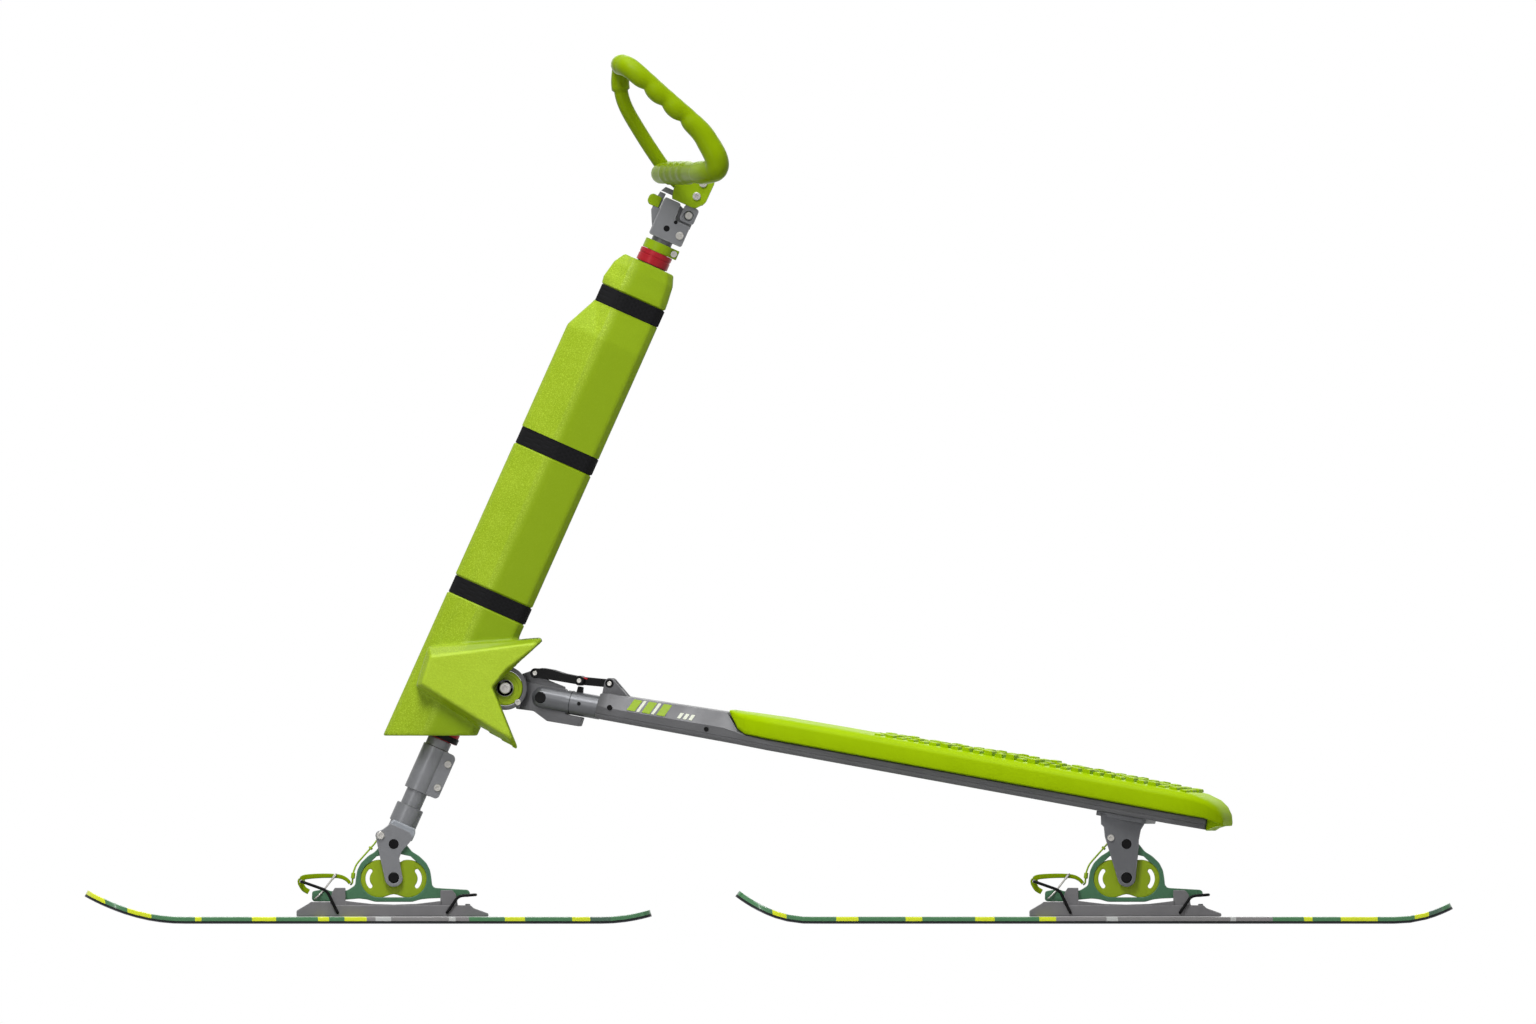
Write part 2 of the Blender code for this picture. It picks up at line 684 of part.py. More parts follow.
def build_handlebar(hinge_frame):
    """The bracket and the loop, drawn about the hinge that they fold on."""
    foot = HOUSING_RISE + 0.0051
    cheek = [
        (-0.0306, foot),
        (0.0040, foot),
        (0.0140, 0.0241),
        (0.0144, 0.0560),
        (-0.0039, 0.0531),
        (-0.0347, 0.0308),
    ]
    inner = BLOCK_HALF_WIDTH + GAP
    outer = inner + BRACKET_CHEEK
    striker_half = LATCH_HALF_WIDTH
    bracket = slab(cheek, -outer, outer)
    bracket = cut(bracket, box((-0.08, -inner, foot + 0.0065), (0.04, inner, 0.11)))
    striker = box((-0.0479, -striker_half, 0.0159), (-0.0285, striker_half, 0.0231))
    bracket = joined(bracket, striker)
    knuckle = arc((0, 0), 0.0100, 180, 360, 8) + [(0.0080, foot + 0.001), (-0.0080, foot + 0.001)]
    for side in SIDES.values():
        low, high = sorted((side * (TAB_HALF_WIDTH + GAP), side * 0.0180))
        bore = disc((0, 0), HINGE_RADIUS + GAP, low - 0.01, high + 0.01)
        bracket = joined(bracket, cut(slab(knuckle, low, high), bore))
    place(bracket, "handlebar_bracket", hinge_frame, "lime_metal")

    half = [
        (-0.0509, 0.050, 0.0401),
        (-0.0189, BAR_HALF_WIDTH * 0.66, 0.0551),
        (-0.0009, BAR_HALF_WIDTH - 0.030, 0.0641),
        (0.0081, BAR_HALF_WIDTH - 0.007, 0.0731),
        (0.0031, BAR_HALF_WIDTH, 0.0851),
        (-0.0139, BAR_HALF_WIDTH, 0.0991),
        (-0.0379, BAR_HALF_WIDTH, 0.1131),
        (-0.0989, BAR_HALF_WIDTH, 0.1326),
        (-0.1469, BAR_HALF_WIDTH - 0.003, 0.1481),
        (-0.1619, BAR_HALF_WIDTH - 0.017, 0.1501),
        (-0.1659, BAR_HALF_WIDTH - 0.040, 0.1491),
        (-0.1659, BAR_HALF_WIDTH * 0.415, 0.1491),
    ]
    knots = [(-0.0569, 0.0, 0.0371)] + half + [(-0.1659, 0.0, 0.1491)]
    knots += [(x, -y, z) for x, y, z in reversed(half)]
    path = smoothed(knots, 2)
    loop = swept(path, [BAR_RADIUS] * len(path), closed=True)
    strut_path = [
        (-0.1649, 0, 0.1471),
        (-0.1559, 0, 0.1231),
        (-0.1379, 0, 0.1001),
        (-0.1009, 0, 0.0731),
        (-0.0649, 0, 0.0501),
        (-0.0439, 0, 0.0391),
    ]
    strut = swept(strut_path, [STRUT_RADIUS] * len(strut_path))
    block = [(-0.0489, 0.0311), (-0.0279, 0.0239), (-0.0249, foot + 0.0070)]
    block += [(0.0121, foot + 0.0070), (0.0141, 0.0641), (-0.0089, 0.0611), (-0.0389, 0.0491)]
    loop = joined(loop, strut, slab(block, -BLOCK_HALF_WIDTH, BLOCK_HALF_WIDTH))
    place(loop, "handlebar_loop", hinge_frame, "lime_gloss")


# Arms
def hull(first, first_radius, second, second_radius, steps=8):
    """The outline of a strip with a round end about each of two points."""
    span = Vector(second) - Vector(first)
    facing = math.degrees(math.atan2(span.y, span.x))
    points = arc(first, first_radius, facing + 90, facing + 270, steps)
    return points + arc(second, second_radius, facing - 90, facing + 90, steps)


def build_knuckle(side, name, arm, pivot_frame):
    """The eye on the camber axle, the tongue in the clevis and the cradle below it."""
    outline = [
        (-0.0340, -0.0215),
        (-0.0090, -0.0201),
        (0.0117, -0.0302),
        (0.0580, -0.0296),
        (0.0600, -0.0170),
        (0.0370, -0.0168),
        (0.0310, -0.0100),
        (0.0330, 0.0130),
        (0.0290, 0.0200),
        (0.0040, 0.0240),
    ]
    outline += arc(LINK_A, LINK_HALF_HEIGHT, 0, 140, 6) + [(-0.0340, 0.0265)]
    tongue = slab(outline, -TONGUE_HALF_WIDTH, TONGUE_HALF_WIDTH)
    above = LINK_A[1] - LINK_HALF_HEIGHT - 0.0030
    reach = TONGUE_HALF_WIDTH + 0.01
    tongue = cut(
        tongue,
        box((-0.0230, LUG_HALF_WIDTH, above), (0.0400, reach, 0.05)),
        box((-0.0230, -reach, above), (0.0400, -LUG_HALF_WIDTH, 0.05)),
        disc((0, 0), FOLD_PIN_RADIUS + GAP, -0.05, 0.05),
    )
    pin_end = LUG_HALF_WIDTH + LINK_CHEEK + 0.0015
    tongue = joined(tongue, disc(LINK_A, LINK_PIN_RADIUS, -pin_end, pin_end, 16))
    tongue = moved(tongue, frame_column().inverted() @ arm)
    axle = (AXLE_BACK, AXLE_UP)
    low = side * KNUCKLE_Y - EYE_HALF_WIDTH
    high = side * KNUCKLE_Y + EYE_HALF_WIDTH
    web = [(0, -0.0270), (0.0293, -0.0170), (0.0203, 0.0233), (-0.0067, 0.0265)]
    web = [(AXLE_BACK + x, AXLE_UP + z) for x, z in web]
    knuckle = joined(
        disc(axle, EYE_RADIUS, low, high, 24),
        slab(web, side * KNUCKLE_Y - 0.012, side * KNUCKLE_Y + 0.012),
        tongue,
    )
    knuckle = cut(knuckle, disc(axle, EYE_BORE, low - 0.02, high + 0.02, 24))
    pivot = (AXLE_BACK, side * KNUCKLE_Y, AXLE_UP)
    place(knuckle, f"{name}_knuckle", pivot_frame, "dark_metal", pivot)
    bushing = disc(axle, EYE_BORE - GAP, low + GAP, high - GAP, 24)
    bushing = cut(bushing, disc(axle, AXLE_RADIUS + GAP, low - 0.01, high + 0.01))
    place(bushing, f"{name}_camber_bushing", pivot_frame, "elastomer", pivot)


def build_links(name, arm_frame):
    """The two links of the fold lock, in line when the arm is down."""
    pin_bore = LINK_PIN_RADIUS + GAP
    link_inner = LUG_HALF_WIDTH + GAP
    link_outer = link_inner + LINK_CHEEK
    span = Vector(LINK_C) - Vector(LINK_A)
    below = Vector((span.y, -span.x)).normalized() * OVER_CENTRE
    middle = Vector(LINK_A) + span.normalized() * FRONT_LINK_LENGTH + below
    reach = (middle - Vector(LINK_A)).length
    outline = arc((0, 0), LINK_HALF_HEIGHT, 120, 270, 6)
    outline += arc((reach, 0), LINK_HALF_HEIGHT, -90, 90, 8)
    outline += [(reach * 0.64, 0.0062), (reach * 0.38, 0.0085), (reach * 0.14, 0.0085)]
    front = slab(outline, -link_outer, link_outer)
    slot_ends = (reach * 0.18, reach * 0.60)
    boss = disc((reach, 0), LINK_PIN_RADIUS, link_inner, link_outer + 0.0015, 16)
    boss_too = disc((reach, 0), LINK_PIN_RADIUS, -link_outer - 0.0015, -link_inner, 16)
    front = cut(
        front,
        box((-0.02, -link_inner, -0.02), (slot_ends[0], link_inner, 0.02)),
        box((slot_ends[1], -link_inner, -0.02), (0.09, link_inner, 0.02)),
        box((slot_ends[0] - 0.001, -link_inner, -0.02), (slot_ends[1] + 0.001, link_inner, 0.0040)),
        disc((0, 0), pin_bore, -0.02, 0.02, 16),
    )
    front = joined(front, boss, boss_too)
    lift = math.atan2(middle.y - LINK_A[1], middle.x - LINK_A[0])
    front = moved(front, Matrix.Rotation(-lift, 4, "Y"))
    front = moved(front, Matrix.Translation((LINK_A[0], 0, LINK_A[1])))
    place(front, f"{name}_front_link", arm_frame, "black_metal", (LINK_A[0], 0, LINK_A[1]))
    rear = slab(
        hull(LINK_C, LINK_HALF_HEIGHT, tuple(middle), LINK_HALF_HEIGHT),
        -LUG_HALF_WIDTH,
        LUG_HALF_WIDTH,
    )
    rear = cut(rear, disc(LINK_C, pin_bore, -0.02, 0.02, 16))
    place(rear, f"{name}_rear_link", arm_frame, "black_metal", (LINK_C[0], 0, LINK_C[1]))


def build_arm(name, arm_frame):
    link_inner = LUG_HALF_WIDTH + GAP
    slot_half = TONGUE_HALF_WIDTH + GAP
    tube = rod((-TUBE_RADIUS, 0, 0), (RAIL_START - GAP, 0, 0), TUBE_RADIUS, 24)
    profile = hull((0, 0), TUBE_RADIUS, (0.2, 0), TUBE_RADIUS, 12)
    tube = combined(tube, [slab(profile, -0.03, 0.03)], "INTERSECT")
    post = box((0.0440, -0.0030, 0.0120), (0.0520, 0.0030, 0.0235))
    tube = cut(
        joined(tube, post),
        box((-0.03, -slot_half, -0.03), (SLOT_ROOT, slot_half, 0.03)),
        disc((0, 0), FOLD_PIN_RADIUS + GAP, -0.03, 0.03),
    )
    place(tube, f"{name}_arm_tube", arm_frame, "grey_metal")
    pin = disc((0, 0), FOLD_PIN_RADIUS, -TUBE_RADIUS - 0.001, TUBE_RADIUS + 0.001)
    place(pin, f"{name}_fold_pin", arm_frame, "black_metal")

    rings = []
    for along, side_width, top_width, shoulder, top in RAIL_STATIONS:
        low = RAIL_BOTTOM
        half = [
            (side_width - 0.003, low),
            (side_width, low + 0.003),
            (side_width, shoulder),
            (top_width, top),
        ]
        section = half + [(-y, z) for y, z in reversed(half)]
        rings.append([(along, y, z) for y, z in section])
    rail = from_rings(rings)
    lug = [(RAIL_START, 0.0100)] + arc(LINK_C, 0.0075, 180, 40, 7)
    lug += [(0.1060, 0.0317), (0.1187, 0.0215), (0.1187, 0.0100)]
    lug_half = link_inner + 0.0050
    lug_solid = cut(
        slab(lug, -lug_half, lug_half),
        box((0.05, -link_inner, 0.0270), (LINK_C[0] + 0.0090, link_inner, 0.06)),
    )
    rail = joined(rail, lug_solid, disc(LINK_C, LINK_PIN_RADIUS, -lug_half - 0.001, lug_half + 0.001, 16))
    place(rail, f"{name}_deck_rail", arm_frame, "dark_metal")

    rings = []
    for along, width, low, top in PAD_STATIONS:
        thick = top - low
        half = [
            (width - 0.003, low),
            (width, low + 0.2 * thick),
            (width, top - 0.3 * thick),
            (width - 0.006, top - 0.08 * thick),
            (width - 0.014, top),
        ]
        section = half + [(-y, z) for y, z in reversed(half)]
        rings.append([(along, y, z) for y, z in section])
    pad = from_rings(rings)
    for tread in range(TREAD_COUNT):
        start = TREAD_FIRST + tread * TREAD_PITCH
        ridge = [
            (start, 0.0300),
            (start + TREAD_WIDTH, 0.0300),
            (start + TREAD_WIDTH - 0.002, 0.0330 + TREAD_HEIGHT),
            (start + 0.002, 0.0330 + TREAD_HEIGHT),
        ]
        pad = joined(pad, slab(ridge, -0.038, 0.038))
    place(pad, f"{name}_deck_pad", arm_frame, "deck_foam")


def build_hanger(name, side, arm, pin_frame, pin_empty):
    """The flange under the rail and the two plates that hold the ski pins."""
    to_pin = pin_frame.inverted() @ arm
    pin_in_arm = arm.inverted() @ pin_frame.translation
    flange_top = RAIL_BOTTOM - GAP
    flange = box(
        (pin_in_arm.x - 0.0420, -0.0300, flange_top - 0.0065),
        (pin_in_arm.x + 0.0280, 0.0300, flange_top),
    )
    hanger = moved(flange, to_pin)
    up = to_pin.to_3x3() @ Vector((0, 0, 1))
    level = flange_top - 0.004 - pin_in_arm.z

    def roof(x, lower=0.0):
        return (x, (level - x * up.x) / up.z - lower)

    outline = [roof(-0.0350), (-0.0346, 0.0268), (-0.0308, 0.0230), (-0.0294, 0.0098)]
    outline += [(-0.0256, -0.0026), (-0.0204, -0.0196)]
    outline += arc((0, -LOWER_PIN_DROP), 0.0123, 190, 352, 10)
    outline += [(0.0166, -0.0045), (0.0166, 0.0050), (0.0194, 0.0192), (0.0240, 0.0265), roof(0.0250)]
    block = [roof(-0.0320, 0.001), (-0.0290, 0.0225), (0.0180, 0.0205), roof(0.0210, 0.001)]
    block_half = (PLATE_INNER_Y + PLATE_OUTER_Y) / 2
    hanger = joined(hanger, slab(block, -block_half, block_half))
    for face in SIDES.values():
        low, high = sorted((face * PLATE_INNER_Y, face * PLATE_OUTER_Y))
        plate = slab(outline, low, high)
        hole = disc((0, -LOWER_PIN_DROP), PIN_RADIUS + GAP, low - 0.01, high + 0.01)
        hanger = joined(hanger, cut(plate, hole))
    place(joined(hanger, *cross_pins(HANGER_BOLT)), f"{name}_ski_hanger", pin_empty, "dark_metal")


# Ski module
def ski_profile(tip, shovel, heel, tail, tip_rise, tail_rise):
    """Points along the running surface with the half width of the ski at each."""
    places = [tip, tip + 0.004, tip + 0.012, tip + 0.024, tip + 0.042, tip + 0.070]
    steps = 9
    for step in range(1, steps):
        places.append(places[5] + (tail - 0.036 - places[5]) * step / steps)
    places += [tail - 0.036, tail - 0.018, tail - 0.006, tail]
    points = []
    for x in places:
        height = 0.0
        if x < shovel:
            height = tip_rise * ((shovel - x) / (shovel - tip)) ** 2
        if x > heel:
            height = tail_rise * ((x - heel) / (tail - heel)) ** 2
        along = (x - tip) / (tail - tip)
        width = SKI_WAIST + (SKI_HALF_WIDTH - SKI_WAIST) * (2 * along - 1) ** 2
        nose = min((x - tip) / 0.055, 1.0)
        width *= max(math.sqrt(1 - (1 - nose) ** 2), 0.12)
        end = min((tail - x) / 0.024, 1.0)
        width *= 0.55 + 0.45 * math.sqrt(1 - (1 - end) ** 2)
        points.append((x, height, width))
    return points


def build_ski(name, pin_empty, profile):
    path = [(x, height - PIN_HEIGHT) for x, height, _ in profile]
    top = offset_path(path, SKI_THICKNESS)
    rings = []
    for low, high, (_, _, width) in zip(path, top, profile):
        low, high = Vector(low), Vector(high)
        waist = low + (high - low) * 0.55
        bevel = min(0.003, width * 0.3)
        half = [(low, width), (waist, width), (high, width - bevel)]
        ring = [(point.x, y, point.y) for point, y in half]
        rings.append(ring + [(x, -y, z) for x, y, z in reversed(ring)])
    place(from_rings(rings), name, pin_empty, "sage")


def build_binding_plate(name, pin_empty):
    seat = SKI_THICKNESS + GAP - PIN_HEIGHT
    outline = [
        (-0.1312, seat),
        (0.1280, seat),
        (0.1280, seat + 0.0042),
        (0.1080, -0.0865),
        (0.1040, -0.0827),
        (-0.0840, -0.0824),
        (-0.0860, -0.0780),
        (-0.1120, -0.0780),
        (-0.1141, -0.0799),
        (-0.1312, seat + 0.0079),
    ]
    plate = slab(outline, -BASE_HALF_WIDTH, BASE_HALF_WIDTH)
    under = -0.0877
    heel_pad = box((0.0660, -FRAME_HALF_WIDTH, under), (0.0860, FRAME_HALF_WIDTH, -0.0720))
    plate = joined(plate, heel_pad)
    toe_cheek = [(-0.0810, -0.0877), (-0.0650, -0.0877), (-0.0650, -0.0591)]
    toe_cheek += [(-0.0770, -0.0591), (-0.0810, -0.0657)]
    heel_cheek = [(0.0630, -0.0877), (0.0870, -0.0877), (0.0840, -0.0677), (0.0790, -0.0623), (0.0630, -0.0623)]
    for side in SIDES.values():
        low, high = sorted((side * CHEEK_INNER_Y, side * CHEEK_OUTER_Y))
        plate = joined(plate, slab(toe_cheek, low, high))
        plate = joined(plate, slab(heel_cheek, low, high))
    stub = BASE_HALF_WIDTH - 0.0035
    for x, height in (TOE_PIVOT, HEEL_PIVOT):
        for side in SIDES.values():
            low, high = sorted((side * stub, side * 0.05))
            hole = disc((x, height), WIRE_RADIUS + GAP, low, high, 12)
            plate = cut(plate, hole)
    place(plate, f"{name}_binding_plate", pin_empty, "plate_grey")


def build_boot_frame(name, pin_empty):
    """The frame round the damper, with a toe and a heel ledge for the binding."""
    outline = arc((0, 0), BOSS_RADIUS, 140, 40, 8)
    outline += [(0.0250, -0.0104), (0.0346, -0.0161), (0.0443, -0.0256), (0.0493, -0.0356)]
    outline += [(0.0511, -0.0467), (0.0520, -0.0557), (0.0553, -0.0590)]
    heel = [(0.0640, -0.0597), (0.1000, -0.0617), (0.1029, -0.0647), (0.1029, -0.0715)]
    heel += [(0.0644, -0.0715), (0.0640, -0.0730), (0.0469, -0.0737), (0.0361, -0.0749)]
    heel += [(0.0251, -0.0782), (-0.0251, -0.0782), (-0.0361, -0.0749), (-0.0469, -0.0737)]
    toe = [(-0.0628, -0.0751), (-0.0840, -0.0777), (-0.1080, -0.0775), (-0.1105, -0.0747)]
    toe += [(-0.1100, -0.0637), (-0.0920, -0.0607), (-0.0850, -0.0637), (-0.0627, -0.0627)]
    outline += heel + toe
    outline += [(-0.0520, -0.0557), (-0.0511, -0.0467), (-0.0493, -0.0356)]
    outline += [(-0.0443, -0.0256), (-0.0346, -0.0161), (-0.0250, -0.0104)]
    lobe = (LOBE_SPACING, -LOBE_DROP)
    half = arc(lobe, LOBE_RADIUS + GAP, -90, 62, 12) + [(0.0229, -0.0167), (0.0080, -0.0135)]
    opening = half + mirrored(half)
    frame = cut(
        slab(outline, -FRAME_HALF_WIDTH, FRAME_HALF_WIDTH),
        slab(opening, -0.03, 0.03),
        disc((0, 0), PIN_RADIUS + GAP, -0.03, 0.03),
    )
    place(frame, f"{name}_boot_frame", pin_empty, "sage")


def build_damper(name, pin_empty):
    """The two-lobed rubber block and the pin through its middle."""
    centre = -LOBE_DROP
    right = arc((LOBE_SPACING, centre), LOBE_RADIUS, -105, 105, 18)
    outline = right + [(0, centre + 0.0200)] + mirrored(right) + [(0, centre - 0.0210)]
    block = slab(outline, -BLOCK_HALF, BLOCK_HALF)
    slots = []
    for side in SIDES.values():
        bow = arc((0, 0), 0.0158, -50, 50, 8)
        path = [(side * (x + LOBE_SPACING), z + centre) for x, z in bow]
        slots.append(slab(thick_path(path, 0.0056), -0.03, 0.03))
    bore = disc((0, -LOWER_PIN_DROP), PIN_RADIUS + GAP, -0.03, 0.03)
    block = cut(block, bore, *slots)
    place(block, f"{name}_elastomer", pin_empty, "elastomer")
    end = PLATE_OUTER_Y + 0.001
    pin = disc((0, -LOWER_PIN_DROP), PIN_RADIUS, -end, end)
    place(pin, f"{name}_pivot_pin", pin_empty, "black_metal")


def wire_bail(pivot, elbow, bar):
    """A bent wire: two short ends in the plate, two legs and a bar across."""
    tip = BASE_HALF_WIDTH - 0.0025
    turn = 0.0025
    leg = Vector((elbow[0] - pivot[0], elbow[1] - pivot[1])).normalized() * turn
    half = [
        (pivot[0], tip, pivot[1]),
        (pivot[0], WIRE_LEG_Y - turn, pivot[1]),
        (pivot[0] + leg.x, WIRE_LEG_Y, pivot[1] + leg.y),
        (elbow[0], WIRE_LEG_Y, elbow[1]),
        (bar[0] - (bar[0] - elbow[0]) * 0.12, WIRE_LEG_Y, bar[1] - (bar[1] - elbow[1]) * 0.12),
        (bar[0], WIRE_LEG_Y - 0.004, bar[1]),
    ]
    path = half + [(x, -y, z) for x, y, z in reversed(half)]
    return swept(path, [WIRE_RADIUS] * len(path), 8)


def build_binding(name, pin_empty):
    toe_at = (TOE_PIVOT[0], 0, TOE_PIVOT[1])
    toe = wire_bail(TOE_PIVOT, (-0.0904, -0.0627), TOE_BAR)
    place(toe, f"{name}_toe_bail", pin_empty, "black_metal", toe_at)
    heel_at = (HEEL_PIVOT[0], 0, HEEL_PIVOT[1])
    heel = wire_bail(HEEL_PIVOT, (0.0876, -0.0702), HEEL_BAR)
    place(heel, f"{name}_heel_bail", pin_empty, "black_metal", heel_at)

    strap = [(-0.1247, -0.0477), (-0.1185, -0.0445), (-0.0950, -0.0429), (-0.0740, -0.0437)]
    strap += [(-0.0640, -0.0477), (-0.0588, -0.0532)]
    tab = [(-0.1262, -0.0517), (-0.1215, -0.0602), (-0.1145, -0.0647)]
    lever = joined(
        disc(TOE_BAR, 0.0050, -LEVER_HALF_WIDTH, LEVER_HALF_WIDTH, 16),
        slab(thick_path(strap, LEVER_WALL), -LEVER_HALF_WIDTH, LEVER_HALF_WIDTH),
        slab(thick_path(tab, LEVER_WALL), -LEVER_HALF_WIDTH, LEVER_HALF_WIDTH),
    )
    lever = cut(lever, disc(TOE_BAR, WIRE_RADIUS + GAP, -0.03, 0.03, 16))
    place(lever, f"{name}_toe_lever", pin_empty, "lime_gloss", (TOE_BAR[0], 0, TOE_BAR[1]))


def build_tether(name, pin_empty, bolt):
    """The short cord from the toe lever up to the bolt, a ferrule near each end."""
    reach = BOLT_RADIUS + GAP
    top = (bolt[0] - reach * 0.70, bolt[1] - reach * 0.72)
    route = [(-0.0585, -0.0553), (-0.05585, -0.0525), (-0.0556, -0.0487), (-0.0552, -0.0467)]
    route += [(-0.0543, -0.0387), (-0.0535, -0.0357), (-0.0498, -0.0272), (-0.0410, -0.0167)]
    route += [(-0.0320, -0.0067), (-0.0300, -0.0043), (-0.0255, 0.0009), top]
    wide = CORD_RADIUS * 2
    radii = (CORD_RADIUS, CORD_RADIUS, CORD_RADIUS, wide, wide, CORD_RADIUS, CORD_RADIUS)
    radii += (CORD_RADIUS, CORD_RADIUS, wide, wide, CORD_RADIUS)
    path = [(x, 0, z) for x, z in route]
    place(swept(path, radii, 8), f"{name}_tether", pin_empty, "deck_foam")


def build_ski_module(name, pin_empty, sizes, bolt):
    build_ski(f"{name}_ski", pin_empty, ski_profile(*sizes))
    build_binding_plate(name, pin_empty)
    build_boot_frame(name, pin_empty)
    build_damper(name, pin_empty)
    build_binding(name, pin_empty)
    build_tether(name, pin_empty, bolt)


def main():
    for leftover in list(bpy.data.objects):
        bpy.data.objects.remove(leftover)
    column = group("column_frame", frame_column())
    front_pin = group("front_pin_frame", frame_ski(FRONT_PIN_X, 0))
    build_cover(column)
    build_spine(column)
    build_steering(column, front_pin)
    hinge = Matrix.Translation((HINGE_BACK, 0, HINGE_UP))
    hinge_frame = group("hinge_frame", frame_column() @ hinge)
    build_stem(column, hinge_frame)
    build_handlebar(hinge_frame)
    build_ski_module("front", front_pin, FRONT_SKI, FORK_BOLT)
    for name, side in SIDES.items():
        arm = frame_arm(side)
        arm_empty = group(f"{name}_arm_frame", arm)
        build_knuckle(side, name, arm, column)
        build_links(name, arm_empty)
        build_arm(name, arm_empty)
        pin_frame = frame_ski(REAR_PIN_X, rear_pin_y(side))
        pin_empty = group(f"{name}_pin_frame", pin_frame)
        build_hanger(name, side, arm, pin_frame, pin_empty)
        build_ski_module(name, pin_empty, REAR_SKI, HANGER_BOLT)


main()
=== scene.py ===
"""Looks of a stand-on snow scooter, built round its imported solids.

Every piece is drawn in the frame of its group (the column, the stem hinge, one arm or
one ski), carried into the row frame, and rides on the body of that group.
"""

import logging  # noqa: E402
import math  # noqa: E402
from collections.abc import Sequence  # noqa: E402
from dataclasses import dataclass, field  # noqa: E402
from enum import Enum  # noqa: E402

import bmesh  # noqa: E402
import bpy  # noqa: E402
from mathutils import Matrix, Vector  # noqa: E402


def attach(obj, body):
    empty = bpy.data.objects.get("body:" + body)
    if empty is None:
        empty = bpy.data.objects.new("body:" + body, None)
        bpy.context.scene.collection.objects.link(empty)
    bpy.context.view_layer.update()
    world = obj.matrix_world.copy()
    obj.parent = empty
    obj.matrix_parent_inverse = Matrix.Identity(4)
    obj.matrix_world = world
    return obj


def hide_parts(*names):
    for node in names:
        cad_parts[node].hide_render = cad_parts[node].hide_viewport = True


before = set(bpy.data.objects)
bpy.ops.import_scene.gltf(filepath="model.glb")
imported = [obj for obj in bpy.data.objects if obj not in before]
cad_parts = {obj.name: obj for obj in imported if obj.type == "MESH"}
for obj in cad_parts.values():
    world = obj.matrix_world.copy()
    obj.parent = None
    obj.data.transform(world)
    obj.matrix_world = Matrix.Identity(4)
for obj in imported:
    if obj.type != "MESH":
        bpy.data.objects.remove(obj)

log = logging.getLogger("snow_scooter")
Point = tuple[float, float]
Place = tuple[float, float, float]
Socket = bpy.types.NodeSocket
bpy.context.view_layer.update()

# Layout, as in the solids
GAP = 0.0003
FRONT_PIN = Vector((-0.50635, 0.0, 0.1077))
REAR_PIN_X = 0.48305
COLUMN_LEAN = math.radians(24.0)
SPLAY = math.radians(15.0)
AXLE = (0.0517, 0.2535)
FOLD_PIN = (AXLE[0] + 0.0526, AXLE[1] + 0.0094)
HINGE = (0.0189, 0.9369)
LATCH_PIN = (-0.026, HINGE[1] - 0.0119)
KNUCKLE_Y = 0.037
ARM_ABOVE_PIN = 0.054
LOWER_PIN_DROP = 0.0456
FRONT_BOLT = (-0.0178, 0.0115)
REAR_BOLT = (-0.0211, 0.0083)
SIDES = {"left": -1, "right": 1}


# Frames
def column_frame() -> Matrix:
    """Returns: X rearward, Y across, Z up the steering axis, from the front pin."""
    return Matrix.Translation(FRONT_PIN) @ Matrix.Rotation(COLUMN_LEAN, 4, "Y")


def arm_frame(side: int) -> Matrix:
    """Finds the frame of one arm.

    Args:
        side: -1 for the rider's left, 1 for the right.

    Returns:
        X along the rail, Z away from the snow, from the fold pin.
    """
    pin = column_frame() @ Vector((FOLD_PIN[0], side * KNUCKLE_Y, FOLD_PIN[1]))
    run = (REAR_PIN_X - pin.x) / math.cos(SPLAY)
    slope = math.atan((pin.z - FRONT_PIN.z - ARM_ABOVE_PIN) / run)
    turn = Matrix.Rotation(side * SPLAY, 4, "Z") @ Matrix.Rotation(slope, 4, "Y")
    return Matrix.Translation(pin) @ turn


def ski_frame(side: int) -> Matrix:
    """Finds the frame of one ski module.

    Args:
        side: 0 for the front ski, -1 and 1 for the rear ones.

    Returns:
        World directions, from the upper pin of that ski.
    """
    if side == 0:
        return Matrix.Translation(FRONT_PIN)
    pin_x = (column_frame() @ Vector((FOLD_PIN[0], 0, FOLD_PIN[1]))).x
    across = side * (KNUCKLE_Y + (REAR_PIN_X - pin_x) * math.tan(SPLAY))
    return Matrix.Translation((REAR_PIN_X, across, FRONT_PIN.z))


# Outlines
def arc(centre: Point, radius: float, start: float, end: float, steps: int) -> list[Point]:
    """Walks round an arc.

    Args:
        centre: middle of the arc.
        radius: its radius in metres.
        start: first angle in degrees.
        end: last angle in degrees.
        steps: number of chords.

    Returns:
        The points, both ends included.
    """
    turns = [math.radians(start + (end - start) * step / steps) for step in range(steps + 1)]
    return [(centre[0] + radius * math.cos(t), centre[1] + radius * math.sin(t)) for t in turns]


def ring(centre: Point, radius: float, steps: int = 40) -> list[Point]:
    """Returns: a full circle as a closed outline."""
    return arc(centre, radius, 0, 360, steps)[:-1]


def arc_slot(centre: Point, radius: float, half: float, turn: float) -> list[Point]:
    """Draws a slot with round ends along an arc.

    Args:
        centre: middle of the arc.
        radius: radius of the slot's middle line.
        half: half of its width.
        turn: angle of each end from the first axis, in degrees.

    Returns:
        A closed outline.
    """
    outline = arc(centre, radius + half, -turn, turn, 20)
    inner = arc(centre, radius - half, turn, -turn, 20)
    for side, following in ((1, inner), (-1, [])):
        end = arc(centre, radius, side * turn, side * turn, 1)[0]
        start = turn if side == 1 else 180 - turn
        outline += arc(end, half, start, start + 180, 8)[1:-1] + following
    return outline


def mirrored(outline: Sequence[Point]) -> list[Point]:
    """Returns: the outline with its first coordinate negated, in reverse order."""
    return [(-x, z) for x, z in reversed(outline)]


def other_side(points: Sequence[Place]) -> list[Place]:
    """Returns: the points across the middle, in reverse order."""
    return [(x, -y, z) for x, y, z in reversed(points)]


